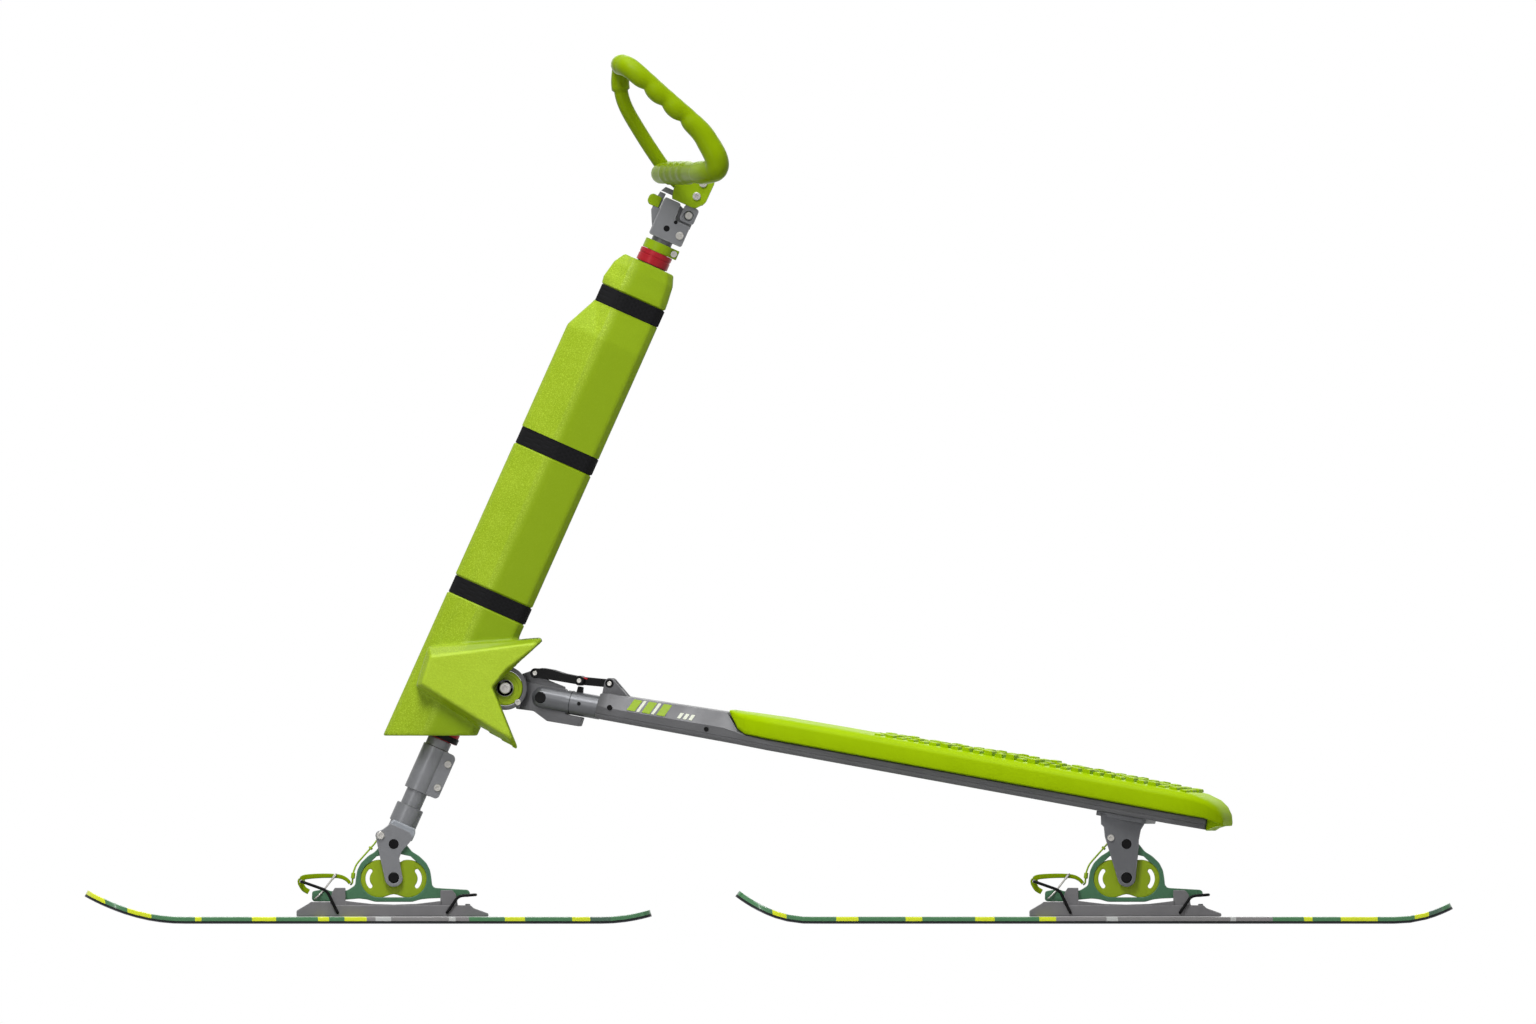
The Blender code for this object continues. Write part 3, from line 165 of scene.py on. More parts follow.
def slice_at(along: float, outline: Sequence[Point]) -> list[Vector]:
    """Returns: a section of across and up, set at a distance along."""
    return [Vector((along, y, z)) for y, z in outline]


def rounded(outline: Sequence[Point], radius: float, steps: int = 5) -> list[Point]:
    """Rounds each corner of a closed outline.

    Args:
        outline: its corners.
        radius: cut back from each corner at most, in metres.
        steps: chords for each corner.

    Returns:
        The outline with an even bend at each corner.
    """
    result: list[Point] = []
    count = len(outline)
    for index in range(count):
        corner = Vector(outline[index])
        before = Vector(outline[index - 1]) - corner
        after = Vector(outline[(index + 1) % count]) - corner
        back = min(radius, before.length * 0.45, after.length * 0.45)
        start = corner + before.normalized() * back
        end = corner + after.normalized() * back
        for step in range(steps + 1):
            share = step / steps
            point = start.lerp(corner, share).lerp(corner.lerp(end, share), share)
            result.append((point.x, point.y))
    return result


def smooth_path(points: Sequence[Place], steps: int, closed: bool = False) -> list[Vector]:
    """Runs a smooth curve through points.

    Args:
        points: the knots.
        steps: chords between two knots.
        closed: whether the last knot joins the first.

    Returns:
        The points of the curve.
    """
    knots = [Vector(point) for point in points]
    count = len(knots)
    path: list[Vector] = []
    for index in range(count if closed else count - 1):
        before = knots[index - 1] if index or closed else knots[0]
        start, end = knots[index], knots[(index + 1) % count]
        far = (index + 2) % count if closed else min(index + 2, count - 1)
        bend = 2 * before - 5 * start + 4 * end - knots[far]
        twist = 3 * start - before - 3 * end + knots[far]
        for step in range(steps):
            share = step / steps
            path.append(start + 0.5 * share * ((end - before) + share * (bend + share * twist)))
    if not closed:
        path.append(knots[-1])
    return path


def bent_path(points: Sequence[Place], radius: float, steps: int = 5) -> list[Vector]:
    """Runs straight lines through points with a bend at each corner.

    Args:
        points: both ends and the corners between them.
        radius: cut back from each corner at most, in metres.
        steps: chords for each bend.

    Returns:
        The points of the run.
    """
    knots = [Vector(point) for point in points]
    path = [knots[0]]
    for before, corner, after in zip(knots, knots[1:], knots[2:]):
        first, second = before - corner, after - corner
        back = min(radius, first.length * 0.45, second.length * 0.45)
        start = corner + first.normalized() * back
        end = corner + second.normalized() * back
        for step in range(steps + 1):
            share = step / steps
            path.append(start.lerp(corner, share).lerp(corner.lerp(end, share), share))
    return path + [knots[-1]]


# Meshes
def verts_of(made: Sequence[object]) -> list[bmesh.types.BMVert]:
    """Returns: the vertices among what an operator made."""
    return [item for item in made if isinstance(item, bmesh.types.BMVert)]


def faces_of(made: Sequence[object]) -> list[bmesh.types.BMFace]:
    """Returns: the faces among what an operator made."""
    return [item for item in made if isinstance(item, bmesh.types.BMFace)]


def add_object(name: str, data: bpy.types.ID) -> bpy.types.Object:
    """Returns: a new object in the scene."""
    made = bpy.data.objects.new(name, data)
    bpy.context.scene.collection.objects.link(made)
    return made


def settle(holder: bpy.types.Object) -> bmesh.types.BMesh:
    """Applies what shapes a working object and removes it.

    Args:
        holder: the working object.

    Returns:
        Its surface.
    """
    bpy.context.view_layer.update()
    graph = bpy.context.evaluated_depsgraph_get()
    made = bpy.data.meshes.new_from_object(holder.evaluated_get(graph))
    bpy.data.objects.remove(holder)
    work = bmesh.new()
    work.from_mesh(made)
    bpy.data.meshes.remove(made)
    return work


def seat(spot: Place, facing: int) -> Matrix:
    """Returns: the place of a piece turned on Z whose top looks along +Y (1) or -Y (-1)."""
    return Matrix.Translation(spot) @ Matrix.Rotation(math.radians(-90 * facing), 4, "X")


class Axis(Enum):
    """The direction that a flat shape is pulled along."""

    ACROSS = "Y"
    UP = "Z"


@dataclass
class Solid:
    """One mesh under construction."""

    mesh: bmesh.types.BMesh = field(default_factory=bmesh.new)

    def __post_init__(self) -> None:
        """Adds the layer that marks rounded rims."""
        self.rim = self.mesh.loops.layers.float.new("rim")

    def prism(
        self,
        outline: Sequence[Point],
        low: float,
        high: float,
        rim: float = 0.0006,
        holes: Sequence[Sequence[Point]] = (),
        axis: Axis = Axis.ACROSS,
    ) -> "Solid":
        """Adds a flat piece with rounded rims.

        Args:
            outline: its closed outer edge.
            low: where it starts along the axis.
            high: where it ends along the axis.
            rim: radius of its rims.
            holes: closed edges of its openings.
            axis: the direction across its faces.

        Returns:
            This solid.
        """
        work = self.mesh
        start = low + rim
        edges = []
        for loop in (outline, *holes):
            if axis is Axis.ACROSS:
                verts = [work.verts.new((x, start, z)) for x, z in loop]
            else:
                verts = [work.verts.new((x, y, start)) for x, y in loop]
            edges += [work.edges.new(pair) for pair in zip(verts, verts[1:] + verts[:1])]
        if holes:
            made = bmesh.ops.triangle_fill(work, use_beauty=True, edges=edges)["geom"]
        else:
            made = bmesh.ops.contextual_create(work, geom=edges)["faces"]
        first = faces_of(made)
        pulled = bmesh.ops.extrude_face_region(work, geom=first)["geom"]
        second = faces_of(pulled)
        reach = high - low - 2 * rim
        step = (0, reach, 0) if axis is Axis.ACROSS else (0, 0, reach)
        bmesh.ops.translate(work, vec=step, verts=verts_of(pulled))
        touched = set(first) | set(second)
        for face in list(touched):
            for edge in face.edges:
                touched.update(edge.link_faces)
        bmesh.ops.recalc_face_normals(work, faces=list(touched))
        if rim > 0:
            self.round_rim(first, rim)
            self.round_rim(second, rim)
        return self

    def cheeks(
        self, outline: Sequence[Point], near: float, far: float, rim: float,
        holes: Sequence[Sequence[Point]] = (),
    ) -> "Solid":
        """Adds two flat pieces that mirror each other across the middle.

        Args:
            outline: their closed outer edge.
            near: how far off the middle they start.
            far: how far off the middle they end.
            rim: radius of their rims.
            holes: closed edges of their openings.

        Returns:
            This solid.
        """
        self.prism(outline, -far, -near, rim, holes)
        return self.prism(outline, near, far, rim, holes)

    def round_rim(self, cap: list[bmesh.types.BMFace], radius: float) -> None:
        """Rounds the rim of one cap.

        Args:
            cap: the faces of the cap.
            radius: radius of the rim.
        """
        done = 0.0
        for turn in (math.radians(45), math.radians(90)):
            inset = radius * (math.cos(done) - math.cos(turn))
            rise = radius * (math.sin(turn) - math.sin(done))
            made = bmesh.ops.inset_region(
                self.mesh, faces=cap, thickness=inset, depth=rise, use_even_offset=True,
                use_boundary=True,
            )
            for face in made["faces"]:
                for loop in face.loops:
                    loop[self.rim] = 1.0
            done = turn

    def turned(
        self, profile: Sequence[Point], place: Matrix | None = None, segments: int = 48
    ) -> "Solid":
        """Adds a turned piece.

        Args:
            profile: radius and height pairs, closed by the axis or by itself.
            place: carries it from the Z axis to its place.
            segments: steps of the full turn.

        Returns:
            This solid.
        """
        work = bmesh.new()
        verts = [work.verts.new((radius, 0, height)) for radius, height in profile]
        pairs = list(zip(verts, verts[1:]))
        if profile[0][0] > 0 and profile[-1][0] > 0:
            pairs.append((verts[-1], verts[0]))
        edges = [work.edges.new(pair) for pair in pairs]
        bmesh.ops.spin(
            work, geom=verts + edges, cent=(0, 0, 0), axis=(0, 0, 1), angle=math.tau,
            steps=segments, use_merge=True,
        )
        bmesh.ops.remove_doubles(work, verts=work.verts, dist=1e-6)
        bmesh.ops.recalc_face_normals(work, faces=work.faces)
        return self.take(work, place)

    def loft(self, rings: Sequence[Sequence[Vector]], capped: bool = True) -> "Solid":
        """Adds a skin through rings with the same number of points.

        Args:
            rings: closed rings, in order.
            capped: whether its two ends are filled, and otherwise joined.

        Returns:
            This solid.
        """
        work = bmesh.new()
        verts = [work.verts.new(point) for point in rings[0]]
        edges = [work.edges.new(pair) for pair in zip(verts, verts[1:] + verts[:1])]
        starting = list(edges)
        current = {tuple(vert.co): index for index, vert in enumerate(verts)}
        for following in rings[1:]:
            made = bmesh.ops.extrude_edge_only(work, edges=edges)["geom"]
            grown = verts_of(made)
            places = [(vert, current[tuple(vert.co)]) for vert in grown]
            current = {}
            for vert, index in places:
                vert.co = following[index]
                current[tuple(vert.co)] = index
            edges = [item for item in made if isinstance(item, bmesh.types.BMEdge)]
            edges = [edge for edge in edges if all(vert in grown for vert in edge.verts)]
        if capped:
            bmesh.ops.holes_fill(work, edges=[edge for edge in work.edges if edge.is_boundary])
        else:
            bmesh.ops.bridge_loops(work, edges=starting + edges)
        bmesh.ops.recalc_face_normals(work, faces=work.faces)
        return self.take(work)

    def tube(
        self, path: Sequence[Vector], radii: float | Sequence[float], closed: bool = False,
        sides: int = 6,
    ) -> "Solid":
        """Adds a round bar along a path.

        Args:
            path: points along its middle.
            radii: its radius, or one for each point.
            closed: whether the last point joins the first.
            sides: quarter resolution of its section.

        Returns:
            This solid.
        """
        line = bpy.data.curves.new("line", "CURVE")
        line.dimensions = "3D"
        line.bevel_depth = 1.0
        line.bevel_resolution = sides
        line.use_fill_caps = not closed
        spline = line.splines.new("POLY")
        spline.points.add(len(path) - 1)
        spline.use_cyclic_u = closed
        for index, point in enumerate(path):
            spline.points[index].co = (*point, 1)
            spline.points[index].radius = radii if isinstance(radii, float) else radii[index]
        work = settle(add_object("line", line))
        bmesh.ops.remove_doubles(work, verts=work.verts, dist=1e-6)
        bmesh.ops.recalc_face_normals(work, faces=work.faces)
        return self.take(work)

    def take(self, work: bmesh.types.BMesh, place: Matrix | None = None) -> "Solid":
        """Adds another bmesh to this one and frees it.

        Args:
            work: the bmesh to take in.
            place: carries it to its place.

        Returns:
            This solid.
        """
        if place is not None:
            bmesh.ops.transform(work, matrix=place, verts=work.verts)
            if place.determinant() < 0:
                bmesh.ops.reverse_faces(work, faces=work.faces)
        holder = bpy.data.meshes.new("holder")
        work.to_mesh(holder)
        work.free()
        self.mesh.from_mesh(holder)
        bpy.data.meshes.remove(holder)
        return self

    def add(self, other: "Solid", place: Matrix | None = None) -> "Solid":
        """Returns: this solid with another one taken in."""
        return self.take(other.mesh, place)

    def node(self, name: str) -> "Solid":
        """Adds a merged copy of a solid of the frame, in the row frame.

        Args:
            name: the node's name.

        Returns:
            This solid.
        """
        work = bmesh.new()
        work.from_mesh(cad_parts[name].data)
        bmesh.ops.remove_doubles(work, verts=work.verts, dist=0.0001)
        flat = math.radians(1.5)
        bmesh.ops.dissolve_limit(work, angle_limit=flat, verts=work.verts, edges=work.edges)
        return self.take(work)


# Fasteners
@dataclass(frozen=True)
class Bolt:
    """A socket head bolt, seen from its head."""

    radius: float = 0.0054
    height: float = 0.003
    socket: float = 0.0027

    def add(self, solid: Solid, spot: Place, facing: int) -> None:
        """Adds the bolt's head to a solid.

        Args:
            solid: takes the head in.
            spot: middle of the head's seat.
            facing: 1 where the head looks along +Y, -1 along -Y.
        """
        work = bmesh.new()
        bmesh.ops.create_circle(work, cap_ends=True, radius=self.radius, segments=30)
        pulled = bmesh.ops.extrude_face_region(work, geom=list(work.faces))["geom"]
        top = faces_of(pulled)
        soft = self.radius * 0.14
        bmesh.ops.translate(work, vec=(0, 0, self.height - soft), verts=verts_of(pulled))
        bmesh.ops.recalc_face_normals(work, faces=work.faces)
        bmesh.ops.inset_region(work, faces=top, thickness=soft, depth=soft, use_even_offset=True)
        bmesh.ops.inset_region(
            work, faces=top, thickness=self.radius - soft - self.socket, use_even_offset=True
        )
        for vert in {vert for face in top for vert in face.verts}:
            turn = math.atan2(vert.co.y, vert.co.x) % (math.pi / 3) - math.pi / 6
            reach = self.socket / math.cos(turn) * 0.97
            vert.co.x, vert.co.y = Vector((vert.co.x, vert.co.y)).normalized() * reach
        bmesh.ops.inset_region(work, faces=top, thickness=0.0001, depth=-self.height * 0.6)
        solid.take(work, seat(spot, facing))

    def pair(self, solid: Solid, spot: Point, half: float) -> None:
        """Adds a head on either side, seated this far from the middle."""
        for facing in (-1, 1):
            self.add(solid, (spot[0], facing * half, spot[1]), facing)


def pin_profile(radius: float, half: float) -> list[Point]:
    """Returns: the profile of a plain pin with chamfered ends, about its middle."""
    edge = radius * 0.14
    dish = radius * 0.1
    top = [(radius, half - edge), (radius - edge, half), (radius * 0.55, half), (0, half - dish)]
    return [(r, -h) for r, h in reversed(top)] + top


ACROSS = Matrix.Rotation(math.radians(90), 4, "X")


def cross_pin(spot: Point, radius: float, half: float) -> Solid:
    """Builds a pin across the piece.

    Args:
        spot: its place in the side view.
        radius: its radius.
        half: half of its length.

    Returns:
        The pin.
    """
    place = Matrix.Translation((spot[0], 0, spot[1])) @ ACROSS
    return Solid().turned(pin_profile(radius, half), place, 36)


# Finishes
def linear(colour: Sequence[int]) -> tuple[float, float, float, float]:
    """Returns: a display colour from 0 to 255 as scene linear values."""
    parts = [value / 255 for value in colour]
    flat = [v / 12.92 if v <= 0.04045 else ((v + 0.055) / 1.055) ** 2.4 for v in parts]
    return (flat[0], flat[1], flat[2], 1.0)


@dataclass
class Nodes:
    """A node tree being wired."""

    tree: bpy.types.NodeTree

    def new(self, kind: str, **settings: object) -> bpy.types.Node:
        """Adds a node.

        Args:
            kind: its type, without the ShaderNode in front.
            settings: its properties.

        Returns:
            The node.
        """
        node = self.tree.nodes.new(f"ShaderNode{kind}")
        for key, value in settings.items():
            setattr(node, key, value)
        return node

    def wire(self, source: object, target: Socket) -> None:
        """Sets an input from a socket or a plain value."""
        if isinstance(source, Socket):
            self.tree.links.new(source, target)
        else:
            target.default_value = source

    def feed(self, node: bpy.types.Node, values: dict[object, object]) -> None:
        """Sets inputs of a node, each named or numbered."""
        for key, value in values.items():
            self.wire(value, node.inputs[key])

    def lay(self, name: str, values: dict[object, object]) -> dict[str, Socket]:
        """Places one of the shared groups.

        Args:
            name: its key in GROUPS.
            values: its inputs by name.

        Returns:
            Its outputs by name.
        """
        node = self.new("Group", node_tree=GROUPS[name])
        self.feed(node, values)
        return {socket.name: socket for socket in node.outputs}

    def parts(self, vector: object) -> list[Socket]:
        """Returns: the three parts of a vector."""
        node = self.new("SeparateXYZ")
        self.wire(vector, node.inputs[0])
        return list(node.outputs)

    def math(self, operation: str, *values: object, clamp: bool = False) -> Socket:
        """Returns: the result of one Math node."""
        node = self.new("Math", operation=operation, use_clamp=clamp)
        self.feed(node, dict(enumerate(values)))
        return node.outputs[0]

    def mix(self, share: object, first: object, second: object) -> Socket:
        """Returns: the colour between two colours."""
        node = self.new("Mix", data_type="RGBA")
        self.feed(node, {0: share, 6: first, 7: second})
        return node.outputs[2]

    def noise(
        self, vector: object, scale: object, detail: float = 3.0, rough: float = 0.5
    ) -> Socket:
        """Returns: the value of one Noise Texture."""
        node = self.new("TexNoise")
        self.feed(node, {"Vector": vector, "Scale": scale, "Detail": detail, "Roughness": rough})
        return node.outputs["Fac"]

    def ramp(self, value: object, low: float, high: float) -> Socket:
        """Returns: the value spread so that low gives 0 and high gives 1."""
        node = self.new("MapRange", interpolation_type="SMOOTHSTEP")
        self.feed(node, {0: value, 1: low, 2: high})
        return node.outputs[0]


def group(name: str, inputs: dict[str, object], outputs: Sequence[str]) -> tuple[Nodes, dict, dict]:
    """Starts a shader node group.

    Args:
        name: the group's name.
        inputs: each input with its default value, a vector where it is a tuple.
        outputs: the names of its values.

    Returns:
        The wiring helper, the inputs by name and the outputs by name.
    """
    tree = bpy.data.node_groups.new(name, "ShaderNodeTree")
    for key, value in inputs.items():
        kind = "NodeSocketVector" if isinstance(value, tuple) else "NodeSocketFloat"
        socket = tree.interface.new_socket(key, in_out="INPUT", socket_type=kind)
        socket.default_value = value
    for key in outputs:
        tree.interface.new_socket(key, in_out="OUTPUT", socket_type="NodeSocketFloat")
    start = tree.nodes.new("NodeGroupInput")
    end = tree.nodes.new("NodeGroupOutput")
    return Nodes(tree), {s.name: s for s in start.outputs}, {s.name: s for s in end.inputs}


def beads_group() -> bpy.types.NodeTree:
    """Returns: the fused beads and pores of moulded foam."""
    inputs = {"Vector": (0, 0, 0), "Scale": 300.0}
    nodes, given, out = group("foam_beads", inputs, ("Tone", "Height"))
    cells = nodes.new("TexVoronoi", feature="SMOOTH_F1")
    nodes.feed(cells, {"Vector": given["Vector"], "Scale": given["Scale"]})
    fine = nodes.noise(given["Vector"], nodes.math("MULTIPLY", given["Scale"], 1.7), 4.0, 0.65)
    broad = nodes.noise(given["Vector"], nodes.math("MULTIPLY", given["Scale"], 0.06), 2.0)
    spots = nodes.ramp(fine, 0.47, 0.64)
    soft = nodes.math("MULTIPLY", broad, 0.35)
    nodes.wire(nodes.math("ADD", nodes.math("MULTIPLY", spots, 0.75), soft, clamp=True), out["Tone"])
    round_top = nodes.math("SUBTRACT", 1.0, cells.outputs["Distance"])
    nodes.wire(nodes.math("ADD", round_top, nodes.math("MULTIPLY", fine, 0.6)), out["Height"])
    return nodes.tree


def grain_group() -> bpy.types.NodeTree:
    """Returns: fine grain with broad cloudy changes, as on mouldings and anodised metal."""
    inputs = {"Vector": (0, 0, 0), "Scale": 400.0, "Stretch": (1, 1, 1)}
    nodes, given, out = group("surface_grain", inputs, ("Fine", "Cloud"))
    stretched = nodes.new("VectorMath", operation="MULTIPLY")
    nodes.feed(stretched, {0: given["Vector"], 1: given["Stretch"]})
    nodes.wire(nodes.noise(stretched.outputs[0], given["Scale"], 4.0, 0.6), out["Fine"])
    cloud_scale = nodes.math("MULTIPLY", given["Scale"], 0.035)
    nodes.wire(nodes.noise(given["Vector"], cloud_scale, 3.0, 0.55), out["Cloud"])
    return nodes.tree


def rim_wear_and_sheen_group() -> bpy.types.NodeTree:
    """Returns: rubbed rims with a painted edge highlight, from the marked rims and a broken noise."""
    nodes, given, out = group("rim_wear_and_sheen", {"Vector": (0, 0, 0), "Amount": 0.5}, ("Mask",))
    marked = nodes.new("Attribute", attribute_name="rim")
    patchy = nodes.ramp(nodes.noise(given["Vector"], 160.0, 4.0, 0.7), 0.36, 0.66)
    rubbed_and_sheen = nodes.math("MULTIPLY", marked.outputs["Fac"], patchy)
    nodes.wire(nodes.math("MULTIPLY", rubbed_and_sheen, given["Amount"], clamp=True), out["Mask"])
    return nodes.tree


def scuff_group() -> bpy.types.NodeTree:
    """Returns: sparse hairline scuffs in two directions."""
    nodes, given, out = group("hairline_scuffs", {"Vector": (0, 0, 0), "Amount": 0.4}, ("Mask",))
    lines = []
    for turn, stretch in ((0.4, (6, 60, 220)), (-0.7, (220, 40, 7))):
        mapping = nodes.new("Mapping")
        turned = (0, turn, turn / 2)
        nodes.feed(mapping, {"Vector": given["Vector"], "Rotation": turned, "Scale": stretch})
        lines.append(nodes.ramp(nodes.noise(mapping.outputs[0], 3.0, 3.0, 0.6), 0.66, 0.74))
    both = nodes.math("MAXIMUM", *lines)
    nodes.wire(nodes.math("MULTIPLY", both, given["Amount"], clamp=True), out["Mask"])
    return nodes.tree


def weave_group() -> bpy.types.NodeTree:
    """Returns: the ribs of woven webbing along and across a band."""
    inputs = {"Vector": (0, 0, 0), "Along": 900.0, "Across": 620.0}
    nodes, given, out = group("webbing_weave", inputs, ("Thread", "Height"))
    x, y, z = nodes.parts(given["Vector"])
    around = nodes.math("ADD", x, y)
    warp = nodes.math("SINE", nodes.math("MULTIPLY", z, given["Along"]))
    weft = nodes.math("SINE", nodes.math("MULTIPLY", around, given["Across"]))
    over = nodes.math("MULTIPLY", warp, weft)
    nodes.wire(nodes.math("MULTIPLY_ADD", over, 0.5, 0.5), out["Thread"])
    nodes.wire(nodes.math("MULTIPLY_ADD", nodes.math("ABSOLUTE", over), 0.8, 0.1), out["Height"])
    return nodes.tree


GROUPS: dict[str, bpy.types.NodeTree] = {
    "beads": beads_group(),
    "grain": grain_group(),
    "wear_and_sheen": rim_wear_and_sheen_group(),
    "scuffs": scuff_group(),
    "weave": weave_group(),
}


class Texture(Enum):
    """What gives a surface its relief and tone."""

    BEADS = "beads"
    GRAIN = "grain"
    WEAVE = "weave"


@dataclass(frozen=True)
class Finish:
    """One surface finish."""

    name: str
    colour: tuple[int, int, int]
    tone: tuple[int, int, int]
    roughness: float
    spread: float = 0.08
    metallic: float = 0.0
    coat: float = 0.0
    scale: float = 900.0
    relief: float = 0.05
    depth: float = 0.0002
    # Paler colour of scuffs and rubbed rims; on the rims it is also a painted edge highlight.
    worn_and_sheen: tuple[int, int, int] = (210, 210, 205)
    wear_and_sheen: float = 0.0
    scuffs: float = 0.0
    stretch: Place = (1.0, 1.0, 1.0)
    lean: float = 0.0
    texture: Texture = Texture.GRAIN
    mix_by_cloud: float = 0.6
    specular: float = 0.3
    slot: str = "grey_metal"

    def coordinates(self, nodes: Nodes) -> Socket:
        """Returns: object coordinates, turned so that the grain follows the piece."""
        source = nodes.new("TexCoord").outputs["Object"]
        if not self.lean:
            return source
        mapping = nodes.new("Mapping", vector_type="TEXTURE")
        nodes.feed(mapping, {"Vector": source, "Rotation": (0, self.lean, 0)})
        return mapping.outputs[0]

    def base(self, nodes: Nodes, where: Socket) -> tuple[object, object, object]:
        """Lays the texture of the finish.

        Args:
            nodes: the material's tree.
            where: its coordinates.

        Returns:
            Its tone, its height and its broad cloud, each from 0 to 1.
        """
        values: dict[object, object] = {"Vector": where}
        if self.texture is Texture.WEAVE:
            laid = nodes.lay("weave", values)
            return laid["Thread"], laid["Height"], laid["Thread"]
        values["Scale"] = self.scale
        if self.texture is Texture.BEADS:
            laid = nodes.lay("beads", values)
            return laid["Tone"], laid["Height"], laid["Tone"]
        values["Stretch"] = self.stretch
        laid = nodes.lay("grain", values)
        cloud, share = nodes.ramp(laid["Cloud"], 0.3, 0.7), self.mix_by_cloud
        fine = nodes.math("MULTIPLY", laid["Fine"], 1 - share)
        return nodes.math("MULTIPLY_ADD", cloud, share, fine), laid["Fine"], cloud

    def paint(self, nodes: Nodes, where: Socket, tone: object) -> Socket:
        """Returns: the colour before rim wear with its painted edge highlight, and before scuffs."""
        return nodes.mix(tone, linear(self.colour), linear(self.tone))

    def material(self) -> bpy.types.Material:
        """Returns: the finish as a material, made once."""
        if self.name in bpy.data.materials:
            return bpy.data.materials[self.name]
        made = bpy.data.materials.new(self.name)
        made.use_nodes = True
        nodes = Nodes(made.node_tree)
        shader = made.node_tree.nodes["Principled BSDF"]
        where = self.coordinates(nodes)
        tone, height, cloud = self.base(nodes, where)
        colour = self.paint(nodes, where, tone)
        rough = nodes.math("MULTIPLY_ADD", cloud, self.spread, self.roughness - self.spread / 2)
        # Rims are painted paler, partly as wear and partly as a painted edge highlight.
        for key, amount in (("wear_and_sheen", self.wear_and_sheen), ("scuffs", self.scuffs)):
            if amount:
                mask = nodes.lay(key, {"Vector": where, "Amount": amount})["Mask"]
                colour = nodes.mix(mask, colour, linear(self.worn_and_sheen))
                rough = nodes.math("MULTIPLY_ADD", mask, 0.15, rough, clamp=True)
        bump = nodes.new("Bump")
        nodes.feed(bump, {"Strength": self.relief, "Distance": self.depth, "Height": height})
        nodes.feed(shader, {
            "Base Color": colour, "Roughness": rough, "Metallic": self.metallic,
            "Specular IOR Level": self.specular, "Normal": bump.outputs[0],
        })
        if self.coat:
            nodes.feed(shader, {"Coat Weight": self.coat, "Coat Roughness": 0.12})
        return made


@dataclass(frozen=True)
class CoverFoam(Finish):
    """Moulded foam, mottled on the front facets and the wings and plainer behind."""

    ridge: float = 0.0
    plateau: float = 0.0675
    # Painted highlight: the paler colour laid on the flats of the wings.
    paler: tuple[int, int, int] = (196, 226, 60)

    def base(self, nodes: Nodes, where: Socket) -> tuple[object, object, object]:
        """Lays the beads and calms them behind the ridge.

        Args:
            nodes: the material's tree.
            where: its coordinates.

        Returns:
            Its tone, its height and its broad cloud, each from 0 to 1.
        """
        tone, height, _ = super().base(nodes, where)
        along, across, _ = nodes.parts(where)
        behind = nodes.ramp(along, self.ridge - 0.004, self.ridge + 0.003)
        off = nodes.math("ABSOLUTE", across)
        raised = nodes.ramp(off, self.plateau, self.plateau + 0.003)
        mottled = nodes.math("MAXIMUM", nodes.math("SUBTRACT", 1.0, behind), raised)
        share = nodes.math("MULTIPLY_ADD", mottled, 0.85, 0.15)
        tone = nodes.math("MULTIPLY", tone, share)
        return tone, nodes.math("MULTIPLY", height, share), tone

    def paint(self, nodes: Nodes, where: Socket, tone: object) -> Socket:
        """Returns: the colour of the foam, with a painted highlight on the flats of the wings."""
        off = nodes.math("ABSOLUTE", nodes.parts(where)[1])
        # The flats of the wings get a painted highlight.
        raised = nodes.ramp(off, self.plateau, self.plateau + 0.004)
        plain = super().paint(nodes, where, tone)
        return nodes.mix(nodes.math("MULTIPLY", raised, 0.55), plain, linear(self.paler))


@dataclass(frozen=True)
class SkiGraphic(Finish):
    """A satin top sheet with slanted blocks along the ski."""

    pin_x: float = 0.0
    pin_y: float = 0.0
    tip: float = -0.5
    tail: float = 0.4
    blocks: tuple[tuple[float, str], ...] = ()
    slant: float = -0.5
    middle: float = 0.0215
    grime: tuple[int, int, int] = (30, 40, 34)

    def paint(self, nodes: Nodes, where: Socket, tone: object) -> Socket:
        """Returns: the colour of the blocks."""
        x, y, _ = nodes.parts(where)
        across = nodes.math("ABSOLUTE", nodes.math("SUBTRACT", y, self.pin_y))
        slant = nodes.math("MULTIPLY_ADD", across, self.slant, self.middle)
        along = nodes.math("ADD", x, slant)
        span = self.tail - self.tip
        share = nodes.math("MULTIPLY_ADD", along, 1 / span, -(self.pin_x + self.tip) / span)
        ramp = nodes.new("ValToRGB")
        ramp.color_ramp.interpolation = "CONSTANT"
        stops = ramp.color_ramp.elements
        while len(stops) > 1:
            stops.remove(stops[-1])
        for index, (start, shade) in enumerate(self.blocks):
            at = (start - self.tip) / span
            stop = stops[0] if index == 0 else stops.new(at)
            stop.position = max(at, 0.0)
            stop.color = linear(SKI_SHADES[shade])
        nodes.wire(share, ramp.inputs[0])
        darker = nodes.mix(0.12, ramp.outputs[0], linear(self.grime))
        return nodes.mix(tone, ramp.outputs[0], darker)


SKI_SHADES = {
    "sage": (66, 124, 78),
    "yellow": (224, 236, 10),
    "grey": (134, 132, 132),
    "pale": (196, 198, 196),
    "deep": (62, 98, 76),
}

